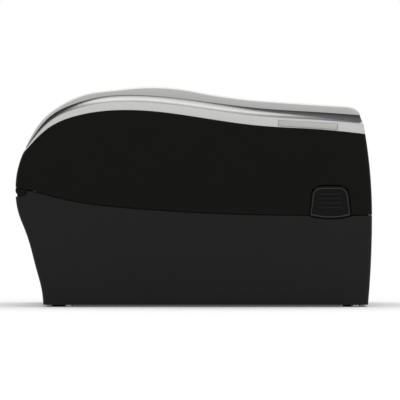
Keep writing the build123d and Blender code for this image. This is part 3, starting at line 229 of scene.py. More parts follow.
# The gasket and the silver coat are darkened by a painted shade under the panel's edge, set on
# their meshes further down
gasket_rubber = moulded("gasket_rubber", (0.30, 0.30, 0.305), 0.6, specular=0.12)
tone_by(gasket_rubber, "painted_cove_shade")
roller_rubber = moulded("roller_rubber", (0.03, 0.03, 0.032), 0.6, specular=0.3, grain=0.2 * MM)
silver_coat = satin_coat("silver_coat", (0.56, 0.56, 0.555), 0.36, 0.6)
tone_by(silver_coat, "painted_cove_shade")
plate_metal = brushed("plate_metal", (0.42, 0.42, 0.40), 0.32, (0.04, 1, 1))
panel_metal = brushed("panel_metal", (0.43, 0.43, 0.425), 0.42, (0.03, 1, 1))
button_metal = brushed("button_metal", (0.36, 0.37, 0.38), 0.38, (1, 1, 1), 0.2 * MM)
sheet_steel = brushed("sheet_steel", (0.56, 0.57, 0.58), 0.36, (1, 1, 0.05), 0.15 * MM)
ground_steel = brushed("ground_steel", (0.6, 0.6, 0.61), 0.24, (1, 0.04, 1), 0.1 * MM)
zinc = brushed("zinc", (0.6, 0.6, 0.58), 0.34, (1, 1, 1), 0.4 * MM)
bronze = brushed("bronze", (0.55, 0.38, 0.17), 0.42, (1, 1, 1), 0.3 * MM)
cast_aluminium = brushed(
    "cast_aluminium", (0.68, 0.68, 0.69), 0.45, (1, 1, 1), 0.35 * MM, 0.008 * MM
)
nickel = brushed("nickel", (0.62, 0.61, 0.58), 0.28, (1, 1, 1), 0.3 * MM)
motor_paint = moulded("motor_paint", (0.035, 0.035, 0.038), 0.35, specular=0.5, grain=0.8 * MM)
ceramic = moulded("ceramic", (0.5, 0.46, 0.38), 0.22, specular=0.6, depth=0.002 * MM)
board_green = moulded("board_green", (0.018, 0.10, 0.045), 0.33, specular=0.5, grain=0.6 * MM)
chip_black = moulded("chip_black", (0.025, 0.025, 0.026), 0.38, specular=0.45, grain=0.2 * MM)
lamp_clear, lamp_tree, lamp_shader = material("lamp_clear", (0.62, 0.72, 0.62), 0.3)
lamp_shader.inputs["Transmission Weight"].default_value = 0.45
lamp_grain = noise(lamp_tree, (1, 1, 1), 0.3 * MM, 2.0)
bump(lamp_tree, lamp_shader, lamp_grain, 0.01 * MM)

dress(lid_black, "lid_shell")
dress(base_black, "base_shell")
dress(latch_black, "latch_left", "latch_right")
dress(inner_black, "bottom_plate", "media_deck", "front_guide", "head_carrier")
dress(socket_black, "label_sensor", "dc_jack", "power_switch_housing", "power_rocker")
dress(holder_grey, "roll_holder_left", "roll_holder_right")
dress(hub_blue, "hub_left", "hub_right")
dress(acetal, "sync_pinion", "platen_gear", "idler_gear")
dress(rubber, "rubber_feet")
dress(gasket_rubber, "panel_gasket")
dress(roller_rubber, "platen_rubber")
dress(silver_coat, "top_bezel")
dress(panel_metal, "top_panel", "name_plate")
dress(button_metal, "feed_button")
dress(sheet_steel, "drive_plate", "idle_plate", "io_bracket", "head_bracket")
dress(ground_steel, "sensor_rail", "idler_post", "platen_shaft", "motor_shaft", "hinge_pins")
dress(ground_steel, "latch_pins", "head_pivot_pin", "tear_bar", "head_springs")
dress(zinc, "case_screws", "carrier_screws", "pinion_screw")
dress(bronze, "platen_bearings", "motor_pinion")
dress(cast_aluminium, "heat_sink")
dress(nickel, "usb_port", "serial_port")
dress(motor_paint, "stepper_motor")
dress(ceramic, "thermal_head")
dress(board_green, "main_board", "button_board")
dress(chip_black, "board_parts")
dress(lamp_clear, "light_pipes")

# Crown of the lid in millimetres, from the same named sizes as the CAD model. A station gives
# X, the height of the roof, the height of the bezel's lower edge, and the share of the crown
# between the two that lies above the foot of the gasket.
FRONT, REAR, SIDE, HEIGHT = 126.0, -126.0, 92.0, 155.0
STATIONS = [
    (REAR + 8.6, HEIGHT - 38.7, HEIGHT - 43.0, 0.60),
    (REAR + 20.2, HEIGHT - 21.3, HEIGHT - 31.2, 0.58),
    (REAR + 38.6, HEIGHT - 8.4, HEIGHT - 21.5, 0.44),
    (REAR + 59.8, HEIGHT - 1.7, HEIGHT - 17.1, 0.35),
    (REAR + 81.0, HEIGHT, HEIGHT - 16.1, 0.34),
    (FRONT - 121.6, HEIGHT - 3.8, HEIGHT - 21.4, 0.34),
    (FRONT - 79.3, HEIGHT - 8.7, HEIGHT - 27.2, 0.41),
    (FRONT - 36.9, HEIGHT - 11.6, HEIGHT - 29.8, 0.50),
    (FRONT - 4.5, HEIGHT - 13.6, HEIGHT - 33.1, 0.57),
]
ROOF_NODES = (0, 1, 2, 4, 6)
HINGE_Z, HINGE_LAND, SEAM_FRONT_Z = 82.5, 1.5, 64.4
BROW_RADIUS, NOSE_RADIUS, NOSE_DROP = 350.0, 12.5, 12.8
ARC_STEPS, NOSE_STEPS, BROW_STEPS = 14, 16, 24
ROOF_SLOPE = math.radians(3.4)
STRAIGHT = 1e-9
PANEL_EDGE, FLANGE_TOP = 0.32, 0.63
BUTTON_Y, BUTTON_RADIUS = 52.0, 7.0
LAMP_RADIUS, LAMP_GAP, LAMP_PLACES = 1.5, 0.1, (-18.0, -26.0)
PANEL_INSET, PANEL_ROLL_WIDTH, PANEL_ROLL_DEPTH = 0.15, 2.8, 1.7
CORE_INSET, CORE_ROLL_WIDTH, CORE_ROLL_DEPTH, CORE_EDGE = 3.1, 4.0, 2.6, 0.8
PANEL_SHEET, CORE_SHEET, BEZEL_SHEET, GASKET_SHEET = 1.9, 2.1, 2.0, 0.9
GASKET_ROUND, GASKET_TUCK, GASKET_FOOT_INSET = 1.5, 0.6, 0.35
SKIRT_LIFT, SKIRT_ROUND, SHOULDER_ROUND, COVE_ROUND, LEDGE_ROUND = 0.25, 3.5, 3.0, 2.4, 0.7
LEDGE_WIDTH = 3.4
COVE_STEPS, COVE_BULGE, COVE_DIP = 9, 0.68, 0.24
RING_ROWS, RING_CORNER = 110, 5
PANEL_Y = SIDE - 5.7
GASKET_Y = PANEL_Y - 0.6
CORE_Y = PANEL_Y - 1.8
FLANGE_Y = SIDE - 1.2


def smooth_line(points):
    """A natural cubic through points, as a function of X that runs straight on past its ends."""
    xs, zs = (np.array(values, float) for values in zip(*points))
    gaps, rises = np.diff(xs), np.diff(zs) / np.diff(xs)
    count = len(xs)
    matrix, right = np.eye(count), np.zeros(count)
    for i in range(1, count - 1):
        matrix[i, i - 1 : i + 2] = gaps[i - 1], 2 * (gaps[i - 1] + gaps[i]), gaps[i]
        right[i] = 6 * (rises[i] - rises[i - 1])
    curve = np.linalg.solve(matrix, right)

    def height(x):
        """Height of the line at X."""
        inside = min(max(x, xs[0]), xs[-1])
        i = min(int(np.searchsorted(xs, inside, side="right")) - 1, count - 2)
        low, high, gap = inside - xs[i], xs[i + 1] - inside, gaps[i]
        z = (curve[i] * high**3 + curve[i + 1] * low**3) / (6 * gap)
        z += (zs[i] / gap - curve[i] * gap / 6) * high
        z += (zs[i + 1] / gap - curve[i + 1] * gap / 6) * low
        slope = (curve[i + 1] * low**2 - curve[i] * high**2) / (2 * gap) + rises[i]
        slope -= (curve[i + 1] - curve[i]) * gap / 6
        return z + slope * (x - inside)

    return height


def crown_line(share, lift=0.0):
    """The line along the crown this share of its height below the roof."""
    return smooth_line([(x, top - share * (top - edge) + lift) for x, top, edge, _ in STATIONS])


def gasket_line(lift=0.0):
    """The line along the foot of the gasket."""
    return smooth_line([(x, top - foot * (top - edge) + lift) for x, top, edge, foot in STATIONS])


def between(upper, lower, amount):
    """A line between two others."""
    return lambda x: upper(x) + (lower(x) - upper(x)) * amount


def arc(start, way, end, steps):
    """Points and headings along the arc that leaves start in this direction and meets end."""
    chord = end - start
    turn = np.angle(chord / way)
    found = []
    for step in range(steps + 1):
        part = step / steps
        stretch = part if abs(turn) < STRAIGHT else math.sin(part * turn) / math.sin(turn)
        place = start + chord * stretch * np.exp(1j * turn * (part - 1))
        found.append((place, way * np.exp(2j * turn * part)))
    return found


def roof_outline():
    """Points of the lid's side outline from the hinge to the seam in front, with their outward
    directions."""

    def dot(a, b):
        return (a * b.conjugate()).real

    def unit(a):
        return a / abs(a)

    brow_centre = complex(FRONT - BROW_RADIUS, SEAM_FRONT_Z)
    nose_z = HEIGHT - NOSE_DROP - NOSE_RADIUS * math.cos(ROOF_SLOPE)
    brow_turn = math.asin((nose_z - SEAM_FRONT_Z) / (BROW_RADIUS - NOSE_RADIUS))
    nose_centre = brow_centre + (BROW_RADIUS - NOSE_RADIUS) * np.exp(1j * brow_turn)
    nose_top = math.pi / 2 - ROOF_SLOPE
    line = [complex(REAR, HINGE_Z + HINGE_LAND)]
    line += [complex(STATIONS[i][0], STATIONS[i][1]) for i in ROOF_NODES]
    line.append(nose_centre + NOSE_RADIUS * np.exp(1j * nose_top))
    ways = [1j]
    for before, here, after in zip(line, line[1:], line[2:]):
        came, goes = here - before, after - here
        ways.append(unit(unit(came) * abs(goes) + unit(goes) * abs(came)))
    ways.append(np.exp(-1j * ROOF_SLOPE))
    found = []
    for here, way, there, next_way in zip(line, ways, line[1:], ways[1:]):
        span, both = there - here, way + next_way
        bend, out = 2 * (1 - dot(way, next_way)), dot(span, both)
        if bend < STRAIGHT:
            length = dot(span, span) / (2 * out)
        else:
            length = (math.sqrt(out**2 + bend * dot(span, span)) - out) / bend
        middle = (here + there + (way - next_way) * length) / 2
        first = arc(here, way, middle, ARC_STEPS)
        found += first + arc(middle, first[-1][1], there, ARC_STEPS)[1:]
    for centre, radius, start, end, steps in (
        (nose_centre, NOSE_RADIUS, nose_top, brow_turn, NOSE_STEPS),
        (brow_centre, BROW_RADIUS, brow_turn, 0, BROW_STEPS),
    ):
        for angle in np.linspace(start, end, steps + 1)[1:]:
            place = centre + radius * np.exp(1j * angle)
            found.append((place, np.exp(1j * (angle - math.pi / 2))))
    return [(place, way * 1j) for place, way in found]


OUTLINE = roof_outline()
NOSE_START = len(OUTLINE) - NOSE_STEPS - BROW_STEPS - 1


def over_line(inset, line, count):
    """Evenly spaced points of the outline, drawn in by an inset and cut off at a line."""
    moved = [place - out * inset for place, out in OUTLINE]
    above = [point.imag - line(point.real) for point in moved]
    top = max(range(len(moved)), key=lambda i: above[i])
    first = top
    while above[first] > 0:
        first -= 1
    last = top
    while above[last] > 0:
        last += 1
    start, end = (
        moved[at] + (moved[at + to] - moved[at]) * (-above[at] / (above[at + to] - above[at]))
        for at, to in ((first, 1), (last, -1))
    )
    run = [start, *moved[first + 1 : last], end]
    lengths = np.concatenate([[0], np.cumsum(np.abs(np.diff(run)))])
    wanted = np.linspace(0, lengths[-1], count)
    xs = np.interp(wanted, lengths, np.real(run))
    zs = np.interp(wanted, lengths, np.imag(run))
    return list(zip(xs, zs))


def grid_mesh(name, columns, closed=False):
    """A mesh from columns of points, in millimetres, each joined to the next. Closed columns
    are loops."""
    rows = len(columns[0])
    form = bmesh.new()
    corners = [[form.verts.new(Vector(point) * MM) for point in column] for column in columns]
    for left, right in zip(corners, corners[1:]):
        for i in range(rows if closed else rows - 1):
            j = (i + 1) % rows
            form.faces.new((left[i], left[j], right[j], right[i]))
    bmesh.ops.remove_doubles(form, verts=form.verts, dist=0.002 * MM)
    bmesh.ops.recalc_face_normals(form, faces=form.faces)
    mesh = bpy.data.meshes.new(name)
    form.to_mesh(mesh)
    form.free()
    made = bpy.data.objects.new(name, mesh)
    bpy.context.collection.objects.link(made)
    return made


def outward(made, middle=(0, 0, 100)):
    """Turns a mesh's faces away from a point inside it."""
    form = bmesh.new()
    form.from_mesh(made.data)
    inside = Vector(middle) * MM
    facing = sum(
        face.normal.dot(face.calc_center_median() - inside) * face.calc_area()
        for face in form.faces
    )
    if facing < 0:
        bmesh.ops.reverse_faces(form, faces=form.faces)
    form.to_mesh(made.data)
    form.free()


def settle(made, sharp=40):
    """Applies a piece's modifiers, and smooths it up to an angle."""
    graph = bpy.context.evaluated_depsgraph_get()
    mesh = bpy.data.meshes.new_from_object(made.evaluated_get(graph), depsgraph=graph)
    made.modifiers.clear()
    made.data = mesh
    mesh.polygons.foreach_set("use_smooth", [True] * len(mesh.polygons))
    mesh.set_sharp_from_angle(angle=math.radians(sharp))
    return made


def thicken(made, depth, rim=0.3, segments=2, angle=50):
    """Gives a skin a thickness inwards and small rounded rims."""
    sheet = made.modifiers.new("sheet", "SOLIDIFY")
    sheet.thickness, sheet.offset, sheet.use_even_offset = depth * MM, -1, True
    bevel = made.modifiers.new("rim", "BEVEL")
    bevel.width, bevel.segments, bevel.limit_method = rim * MM, segments, "ANGLE"
    bevel.angle_limit = math.radians(angle)
    return settle(made)


def roof_sheet(name, half_y, inset, roll_y, roll_depth, line, rows=150, steps=7, across=6):
    """A skin that follows the roof, with rolled side edges and sides that end on a line."""
    turns = [math.pi / 2 * i / steps for i in range(steps + 1)]
    profile = [
        (half_y - roll_y * (1 - math.cos(a)), inset + roll_depth * (1 - math.sin(a)))
        for a in turns
    ]
    profile += [((half_y - roll_y) * (1 - i / across), inset) for i in range(1, across + 1)]
    half = [(y, over_line(depth, line, rows)) for y, depth in profile]
    lower = (half_y, [(x, min(z, line(x))) for x, z in half[0][1]])
    half.insert(0, lower)
    columns = [[(x, -y, z) for x, z in run] for y, run in half]
    columns += [[(x, y, z) for x, z in run] for y, run in reversed(half[:-1])]
    made = grid_mesh(name, columns)
    outward(made)
    return made


def ring(line, half_y, round_by, inset=0.0):
    """A closed loop round the crown at a line, with rounded corners that follow the case."""
    turns = [math.pi / 2 * i / RING_CORNER for i in range(RING_CORNER + 1)]
    runs = []
    for a in turns:
        ends = over_line(inset + round_by * (1 - math.sin(a)), line, 2)
        runs.append((half_y - round_by * (1 - math.cos(a)), ends))
    rear_x, front_x = runs[0][1][0][0], runs[0][1][-1][0]
    xs = [
        rear_x + (front_x - rear_x) * (1 - math.cos(math.pi * i / RING_ROWS)) / 2
        for i in range(1, RING_ROWS)
    ]
    left = [(x, -half_y, line(x)) for x in xs]
    front = [(run[-1][0], -y, run[-1][1]) for y, run in runs]
    rear = [(run[0][0], -y, run[0][1]) for y, run in reversed(runs)]
    near = [*rear, *left, *front]
    return near + [(x, -y, z) for x, y, z in reversed(near)]


gasket_foot = gasket_line()
flange_top = crown_line(FLANGE_TOP)
cove_width = FLANGE_Y - GASKET_Y

# The panel, the gasket below its edge, the bezel with its cove, and the core inside them
panel = roof_sheet(
    "panel_sheet", PANEL_Y, PANEL_INSET, PANEL_ROLL_WIDTH, PANEL_ROLL_DEPTH, crown_line(PANEL_EDGE)
)
gasket = grid_mesh(
    "gasket_strip",
    [
        ring(crown_line(PANEL_EDGE, GASKET_TUCK), GASKET_Y, GASKET_ROUND, GASKET_TUCK),
        ring(gasket_line(-GASKET_TUCK), GASKET_Y, GASKET_ROUND, GASKET_FOOT_INSET),
    ],
    closed=True,
)
outward(gasket, (0, 0, 120))
thicken(gasket, GASKET_SHEET, 0.1, 1)

skirt_foot = crown_line(1.0, SKIRT_LIFT)
levels = [ring(skirt_foot, SIDE - 0.02, SKIRT_ROUND)]
levels.append(ring(between(skirt_foot, flange_top, 0.5), SIDE - 0.6, SHOULDER_ROUND))
for step in range(COVE_STEPS + 1):
    part = step / COVE_STEPS
    half_y = FLANGE_Y - cove_width * (2 * part * (1 - part) * COVE_BULGE + part * part)
    line = between(flange_top, gasket_foot, 2 * part * (1 - part) * COVE_DIP + part * part)
    levels.append(ring(line, half_y, max(LEDGE_ROUND, COVE_ROUND - (FLANGE_Y - half_y))))
levels.append(ring(gasket_foot, GASKET_Y - LEDGE_WIDTH, LEDGE_ROUND, LEDGE_WIDTH))
bezel = grid_mesh("bezel_skirt", levels, closed=True)
outward(bezel, (0, 0, 120))
thicken(bezel, BEZEL_SHEET, 0.25, 2, 40)

core = roof_sheet(
    "bezel_core", CORE_Y, CORE_INSET, CORE_ROLL_WIDTH, CORE_ROLL_DEPTH, crown_line(CORE_EDGE),
    rows=80, steps=4, across=3,
)
thicken(core, CORE_SHEET, 0.3, 1)
thicken(panel, PANEL_SHEET, 0.3, 2)


def prism(points, low, high, plane):
    """A closed bar with this outline between two depths. The plane turns (u, v, depth) into a
    place."""
    form = bmesh.new()
    ends = [[form.verts.new(plane(u, v, depth) * MM) for u, v in points] for depth in (low, high)]
    form.faces.new(ends[0])
    form.faces.new(list(reversed(ends[1])))
    for i in range(len(points)):
        j = (i + 1) % len(points)
        form.faces.new((ends[0][j], ends[0][i], ends[1][i], ends[1][j]))
    bmesh.ops.recalc_face_normals(form, faces=form.faces)
    mesh = bpy.data.meshes.new("prism")
    form.to_mesh(mesh)
    form.free()
    made = bpy.data.objects.new("prism", mesh)
    bpy.context.collection.objects.link(made)
    return made


def cut(made, *cutters):
    """Cuts closed bars out of a piece."""
    for cutter in cutters:
        hole = made.modifiers.new("cut", "BOOLEAN")
        hole.operation, hole.solver, hole.object = "DIFFERENCE", "EXACT", cutter
    settle(made)


def drop(*made):
    """Deletes helper objects."""
    for helper in made:
        bpy.data.objects.remove(helper, do_unlink=True)


def circle(radius, u=0.0, v=0.0, count=48):
    """Points of a circle."""
    turns = [2 * math.pi * i / count for i in range(count)]
    return [(u + radius * math.cos(a), v + radius * math.sin(a)) for a in turns]


# Feed button, its two lamps and the holes they stand in
BUTTON_GAP, DISH_RADIUS, LAMP_LENGTH = 0.3, 6.0, 12.0
HOLE_REACH = (-9, 4)
NEAR_AXIS = 0.001
nose_start = OUTLINE[NOSE_START][0]
button_way = Vector((nose_start.real - STATIONS[6][0], 0, nose_start.imag - STATIONS[6][1]))
button_way.normalize()
button_up = Vector((-button_way.z, 0, button_way.x))
button_place = Vector((STATIONS[7][0], BUTTON_Y, STATIONS[7][1]))


def on_roof(u, v, depth):
    """A place on the front of the roof, from the middle of the button."""
    return button_place + button_way * u + Vector((0, v, 0)) + button_up * depth


holes = [prism(circle(BUTTON_RADIUS + BUTTON_GAP), *HOLE_REACH, on_roof)]
holes += [
    prism(circle(LAMP_RADIUS + LAMP_GAP, 0, v, 24), *HOLE_REACH, on_roof) for v in LAMP_PLACES
]
cut(panel, *holes)
cut(core, *holes)
drop(*holes)


def turned(name, profile, v=0.0, count=56):
    """A round piece that stands square to the front of the roof, from radii and depths."""
    rings = [[on_roof(*place, depth) for place in circle(r, 0.0, v, count)] for r, depth in profile]
    return settle(grid_mesh(name, rings, closed=True), FINE_ANGLE)


# Profiles are pairs of a radius and a depth: a shallow dish, then the rim, the flange that holds
# the cap under the panel, and the plunger
dish = [(r, -0.75 + 0.45 * (r / DISH_RADIUS) ** 2) for r in (NEAR_AXIS, 1.5, 3.0, 4.5, DISH_RADIUS)]
button_rim = [(6.5, -0.16), (6.8, -0.2), (6.95, -0.4), (BUTTON_RADIUS, -0.7)]
button_flange = [(BUTTON_RADIUS, -5.8), (8.4, -5.8), (8.4, -7.0), (2.0, -7.0)]
button_plunger = [(2.0, -8.1), (NEAR_AXIS, -8.1)]
button_cap = turned("button_cap", dish + button_rim + button_flange + button_plunger)
lens = [
    (LAMP_RADIUS * math.sin(a), -0.55 + 0.4 * math.cos(a))
    for a in (NEAR_AXIS, 0.35, 0.7, 1.05, 1.35, math.pi / 2)
]
light_pipe = [*lens, (LAMP_RADIUS, -LAMP_LENGTH), (NEAR_AXIS, -LAMP_LENGTH)]
lamps = [turned(f"lamp_lens_{i}", light_pipe, v, 32) for i, v in enumerate(LAMP_PLACES, 1)]

# Bare name plate, sunk into the flange on the left side
PLATE_FRONT_X, PLATE_LENGTH, PLATE_GAP = FRONT - 24.2, 42.4, 0.45
RECESS_DEPTH, PLATE_FACE, PLATE_BACK = 1.55, 0.75, 2.0
plate_rear_x = PLATE_FRONT_X - PLATE_LENGTH


def plate_outline(margin):
    """Corners of the plate in the side view, drawn in by a margin."""
    rear, front = plate_rear_x + margin, PLATE_FRONT_X - margin
    return [
        (rear, crown_line(0.97)(rear) + margin),
        (front, crown_line(0.965)(front) + margin),
        (front, crown_line(0.70)(front) - margin),
        (rear, crown_line(0.715)(rear) - margin),
    ]


def on_side(u, v, depth):
    """A place on the left side, from its X and Z and its depth below the side."""
    return Vector((u, depth - SIDE, v))


recess = prism(plate_outline(0.0), -1.0, RECESS_DEPTH, on_side)
cut(bezel, recess)
drop(recess)
plate = prism(plate_outline(PLATE_GAP), PLATE_FACE, PLATE_BACK, on_side)
plate.name = plate.data.name = "bare_plate"
plate_edge = plate.modifiers.new("edge", "BEVEL")
plate_edge.width, plate_edge.segments = 0.3 * MM, 3
settle(plate)

# Raised rims of the latch tiles, inside the edge of each tile. The bead's profile is pairs of a
# distance from the edge and a depth below the side.
TILE_X, TILE_WIDTH, TILE_TAPER = FRONT - 29.6, 28.4, 3.2
TILE_LOW, TILE_HIGH, TILE_BELLY, TILE_CORNER = SEAM_FRONT_Z + 0.3, SEAM_FRONT_Z + 20.0, 1.8, 6.5
BELLY_STEPS, CORNER_STEPS = 12, 6
BEAD = [(0.2, 0.5), (0.2, 0.3), (0.35, 0.1), (0.6, 0.04), (0.85, 0.1), (1.0, 0.3), (1.0, 0.5)]


def tile_loop(margin):
    """Points round a latch tile in the side view, drawn in by a margin."""
    half, top = TILE_WIDTH / 2 - margin, TILE_HIGH - margin
    low, corner = TILE_LOW + margin, TILE_CORNER - margin
    lean = TILE_TAPER / 2
    across = [2 * i / BELLY_STEPS - 1 for i in range(BELLY_STEPS + 1)]
    points = [(TILE_X + half * u, low - TILE_BELLY * (1 - u**2)) for u in across]
    turns = [math.pi / 2 * i / CORNER_STEPS for i in range(CORNER_STEPS + 1)]
    for side, angles in ((1, turns), (-1, reversed(turns))):
        for turn in angles:
            x = TILE_X + side * (half - lean - corner * (1 - math.cos(turn)))
            points.append((x, top - corner * (1 - math.sin(turn))))
    return points


def tile_rim(name, side):
    """A rounded bead on the face of a latch tile."""
    rings = [
        [(x, side * (SIDE - depth), z) for x, z in tile_loop(margin)] for margin, depth in BEAD
    ]
    return settle(grid_mesh(name, rings, closed=True), FINE_ANGLE)


rims = [tile_rim("latch_rim_left", -1), tile_rim("latch_rim_right", 1)]

# Soft strips on the rim of the base, which close the seam where the inner lip stops
SEAM = smooth_line([
    (REAR - 30.0, SEAM_FRONT_Z + 21.0),
    (REAR + 7.5, SEAM_FRONT_Z + 18.5),
    (REAR + 31.5, SEAM_FRONT_Z + 12.3),
    (REAR + 82.4, SEAM_FRONT_Z + 5.3),
    (FRONT - 93.4, SEAM_FRONT_Z + 1.0),
    (FRONT + 30.0, SEAM_FRONT_Z),
])
MOUTH_HALF = 59.0
FRONT_RIM_Z = 64.75
STRIP_STEPS, STRIP_FOOT, STRIP_SHOULDER, STRIP_TOP, STRIP_ROUND = 8, -0.7, -0.05, 0.18, 0.25


def seam_strip(name, line, rear, front, low_y, high_y):
    """A strip with a rounded top that lies along the seam between two places in X and in Y."""
    xs = [rear + (front - rear) * i / STRIP_STEPS for i in range(STRIP_STEPS + 1)]
    profile = [
        (low_y, STRIP_FOOT),
        (low_y, STRIP_SHOULDER),
        (low_y + STRIP_ROUND, STRIP_TOP),
        (high_y - STRIP_ROUND, STRIP_TOP),
        (high_y, STRIP_SHOULDER),
        (high_y, STRIP_FOOT),
    ]
    columns = [[(x, y, line(x) + rise) for y, rise in profile] for x in xs]
    made = grid_mesh(name, columns, closed=True)
    form = bmesh.new()
    form.from_mesh(made.data)
    bmesh.ops.holes_fill(form, edges=form.edges)
    bmesh.ops.recalc_face_normals(form, faces=form.faces)
    form.to_mesh(made.data)
    form.free()
    return settle(made, FINE_ANGLE)


strips = []
for hand, side in (("left", -1), ("right", 1)):
    for end, line, rear, front, inner_y, outer_y in (
        ("front", lambda x: FRONT_RIM_Z, FRONT - 2.6, FRONT - 0.35, MOUTH_HALF + 2, SIDE - 2.0),
        ("rear", SEAM, REAR + 12.2, REAR + 17.0, SIDE - 3.4, SIDE - 1.4),
    ):
        near, far = sorted((side * inner_y, side * outer_y))
        strips.append(seam_strip(f"seam_strip_{end}_{hand}", line, rear, front, near, far))


# Painted shade under the panel's edge: where the dark strip below the panel is tall, and how
# sharply the painted shade darkens the silver into it
TALL_FROM, TALL_OVER, SHADE_SHARPNESS, DARKEST = 0.01, 0.06, 11.5, 0.05


def paint_cove_shade(made):
    """Paints shade into the silver towards the panel where the dark strip is tall, as in the
    photograph.
    """
    panel_edge = crown_line(PANEL_EDGE)
    share = smooth_line([(x, foot) for x, _, _, foot in STATIONS])
    painted_shades = made.data.color_attributes.new("painted_cove_shade", "FLOAT_COLOR", "POINT")
    for vertex in made.data.vertices:
        x, z = vertex.co.x / MM, vertex.co.z / MM
        rise = (z - flange_top(x)) / max(0.5, panel_edge(x) - flange_top(x))
        foot = (FLANGE_TOP - share(x)) / (FLANGE_TOP - PANEL_EDGE)
        tall = min(max((share(x) - PANEL_EDGE - TALL_FROM) / TALL_OVER, 0), 1)
        tone = 1 / (1 + math.exp(SHADE_SHARPNESS * (rise - foot)))
        tone = max(1 + (tone - 1) * tall, DARKEST)
        painted_shades.data[vertex.index].color = (tone, tone, tone, 1)


# Painted shade under the panel's edge, on the silver bezel and on the gasket
paint_cove_shade(bezel)
paint_cove_shade(gasket)

for piece, body, finish, slot, *stands_for in (
    (panel, "lid", panel_metal, "panel_silver", "top_panel"),
    (gasket, "lid", gasket_rubber, "gasket", "panel_gasket"),
    (bezel, "lid", silver_coat, "bezel_silver", "top_bezel"),
    (core, "lid", inner_black, "bezel_silver", "top_bezel"),
    (plate, "lid", plate_metal, "bezel_silver", "name_plate"),
    (button_cap, "feed_button", button_metal, "button", "feed_button"),
    (lamps[0], "lid", lamp_clear, "lamp", "light_pipes"),
    (lamps[1], "lid", lamp_clear, "lamp", "light_pipes"),
    (rims[0], "latch_left", rim_black, "latch_black"),
    (rims[1], "latch_right", rim_black, "latch_black"),
    *((strip, "base", rubber, "gasket") for strip in strips),
):
    piece.data.materials.clear()
    piece.data.materials.append(finish)
    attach(piece, body)
    if stands_for:
        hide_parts(*stands_for)

# Springs over the print head: round wire with closed end turns
SPRING_Y, SPRING_RADIUS, WIRE_RADIUS, SPRING_TURNS = 35.0, 3.2, 0.5, 6.5
SPRING_POINTS, CLOSED_TURNS, END_ROOM, END_RISE = 150, 0.7, 0.7, 1.2
spring_low, spring_high = (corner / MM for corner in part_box("head_springs"))
spring_x = (spring_low.x + spring_high.x) / 2
spring_length = spring_high.z - spring_low.z
joints = frame["record"]["behaviour"]["joints"]
head_joint = next(joint for joint in joints if joint["name"] == "head_pivot")
head_turn = math.radians(max(head_joint["range_deg"]))


def coil_spring(name, x, y):
    """A compression spring of round wire between the bracket and the carrier."""
    curve = bpy.data.curves.new(name, "CURVE")
    curve.dimensions, curve.bevel_depth, curve.bevel_resolution = "3D", WIRE_RADIUS * MM, 3
    curve.use_fill_caps = True
    line = curve.splines.new("POLY")
    line.points.add(SPRING_POINTS - 1)
    lowest = spring_low.z + WIRE_RADIUS + END_ROOM
    travel = spring_length - 2 * WIRE_RADIUS - 2 * END_ROOM
    for i in range(SPRING_POINTS):
        part = i / (SPRING_POINTS - 1)
        turn = 2 * math.pi * SPRING_TURNS * part
        open_turns = (part * SPRING_TURNS - CLOSED_TURNS) / (SPRING_TURNS - 2 * CLOSED_TURNS)
        z = lowest + travel * min(max(open_turns, 0), 1) + (part - 0.5) * END_RISE
        place = (x + SPRING_RADIUS * math.cos(turn), y + SPRING_RADIUS * math.sin(turn), z)
        line.points[i].co = (*(Vector(place) * MM), 1)
    helper = bpy.data.objects.new(name, curve)
    bpy.context.collection.objects.link(helper)
    mesh = bpy.data.meshes.new_from_object(helper)
    drop(helper)
    made = bpy.data.objects.new(name, mesh)
    bpy.context.collection.objects.link(made)
    mesh.polygons.foreach_set("use_smooth", [True] * len(mesh.polygons))
    mesh.materials.clear()
    mesh.materials.append(ground_steel)
    return made


for hand, y in (("left", -SPRING_Y), ("right", SPRING_Y)):
    spring = coil_spring(f"head_spring_{hand}", spring_x, y)
    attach(spring, "lid")
    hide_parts("head_springs")
    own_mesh(spring)

# Studio: a pale floor that keeps the shadow, soft lamps, and a white world for what is seen
# directly, in reflections and through clear pieces
PIXEL = 0.706 * MM
PHOTO_SIZE = 400
MIDDLE_X, FLOOR_ROW = 193.8, 307.0
CAMERA_DISTANCE, CLIP_END = 4.0, 100
SENSOR = 36.0
FLOOR_LIFT, FLOOR_HALF = 0.09, 60.0
WORLD_FILL, WORLD_SEEN = 0.46, 1.0


def white_where_seen(tree, plain, bright):
    """Mixes a plain shader with a brighter one on rays that show a background."""
    rays = tree.nodes.new("ShaderNodeLightPath")
    either = tree.nodes.new("ShaderNodeMath")
    either.operation = "MAXIMUM"
    link(tree, rays, "Is Camera Ray", either, 0)
    link(tree, rays, "Is Glossy Ray", either, 1)
    any_of = tree.nodes.new("ShaderNodeMath")
    any_of.operation = "MAXIMUM"
    link(tree, either, "Value", any_of, 0)
    link(tree, rays, "Is Transmission Ray", any_of, 1)
    mix = tree.nodes.new("ShaderNodeMixShader")
    link(tree, any_of, "Value", mix, "Fac")
    tree.links.new(plain, mix.inputs[1])
    tree.links.new(bright, mix.inputs[2])
    return mix


def floor_finish():
    """A pale matt floor, lifted to white where it is seen outside a shadow."""
    made, tree, shader = material("pale_floor", (0.96, 0.96, 0.96), 0.9, specular=0.0)
    glow = tree.nodes.new("ShaderNodeEmission")
    glow.inputs["Strength"].default_value = FLOOR_LIFT
    both = tree.nodes.new("ShaderNodeAddShader")
    link(tree, shader, "BSDF", both, 0)
    link(tree, glow, "Emission", both, 1)
    mix = white_where_seen(tree, shader.outputs["BSDF"], both.outputs["Shader"])
    link(tree, mix, "Shader", tree.nodes["Material Output"], "Surface")
    return made


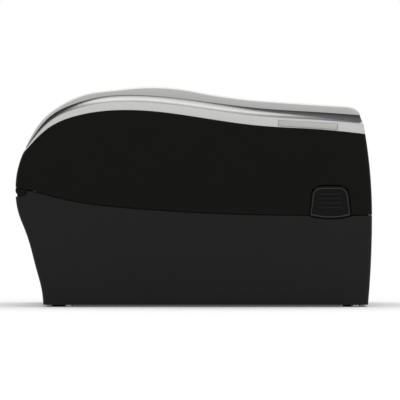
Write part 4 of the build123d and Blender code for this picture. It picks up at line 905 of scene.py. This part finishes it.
floor_mesh = bpy.data.meshes.new("studio_floor")
floor_corners = ((-1, -1), (1, -1), (1, 1), (-1, 1))
floor_mesh.from_pydata(
    [(x * FLOOR_HALF, y * FLOOR_HALF, 0) for x, y in floor_corners], [], [(0, 1, 2, 3)]
)
studio_floor = bpy.data.objects.new("studio_floor", floor_mesh)
bpy.context.collection.objects.link(studio_floor)
studio_floor.data.materials.append(floor_finish())

world = bpy.data.worlds.new("studio_world")
bpy.context.scene.world = world
world.use_nodes = True
world_tree = world.node_tree
fill = world_tree.nodes["Background"]
seen = world_tree.nodes.new("ShaderNodeBackground")
for background, strength in ((fill, WORLD_FILL), (seen, WORLD_SEEN)):
    background.inputs["Color"].default_value = (1, 1, 1, 1)
    background.inputs["Strength"].default_value = strength
world_mix = white_where_seen(world_tree, fill.outputs["Background"], seen.outputs["Background"])
link(world_tree, world_mix, "Shader", world_tree.nodes["World Output"], "Surface")


def soft_sun(name, heading, spread_angle, strength):
    """A broad distant lamp that shines along a heading."""
    lamp = bpy.data.lights.new(name, "SUN")
    lamp.angle = math.radians(spread_angle)
    lamp.energy = strength
    holder = bpy.data.objects.new(name, lamp)
    holder.rotation_euler = Vector(heading).to_track_quat("-Z", "Y").to_euler()
    bpy.context.collection.objects.link(holder)


soft_sun("overhead", (0.05, -0.36, -1.0), 75, 1.5)
soft_sun("front_fill", (-0.5, 0.8, -0.7), 90, 0.25)

# Camera: level, square to the side, far enough away for the photograph's flat view
side_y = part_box("base_shell")[0].y
eye = bpy.data.cameras.new("photo_camera")
eye.sensor_width = SENSOR
eye.lens = SENSOR * CAMERA_DISTANCE / (PHOTO_SIZE * PIXEL)
eye.clip_end = CLIP_END
camera = bpy.data.objects.new("photo_camera", eye)
camera.location = (
    (PHOTO_SIZE / 2 - MIDDLE_X) * PIXEL,
    side_y - CAMERA_DISTANCE,
    (FLOOR_ROW - PHOTO_SIZE / 2) * PIXEL,
)
camera.rotation_euler = (math.pi / 2, 0, 0)
bpy.context.collection.objects.link(camera)
bpy.context.scene.camera = camera
bpy.context.scene.view_settings.view_transform = "Standard"
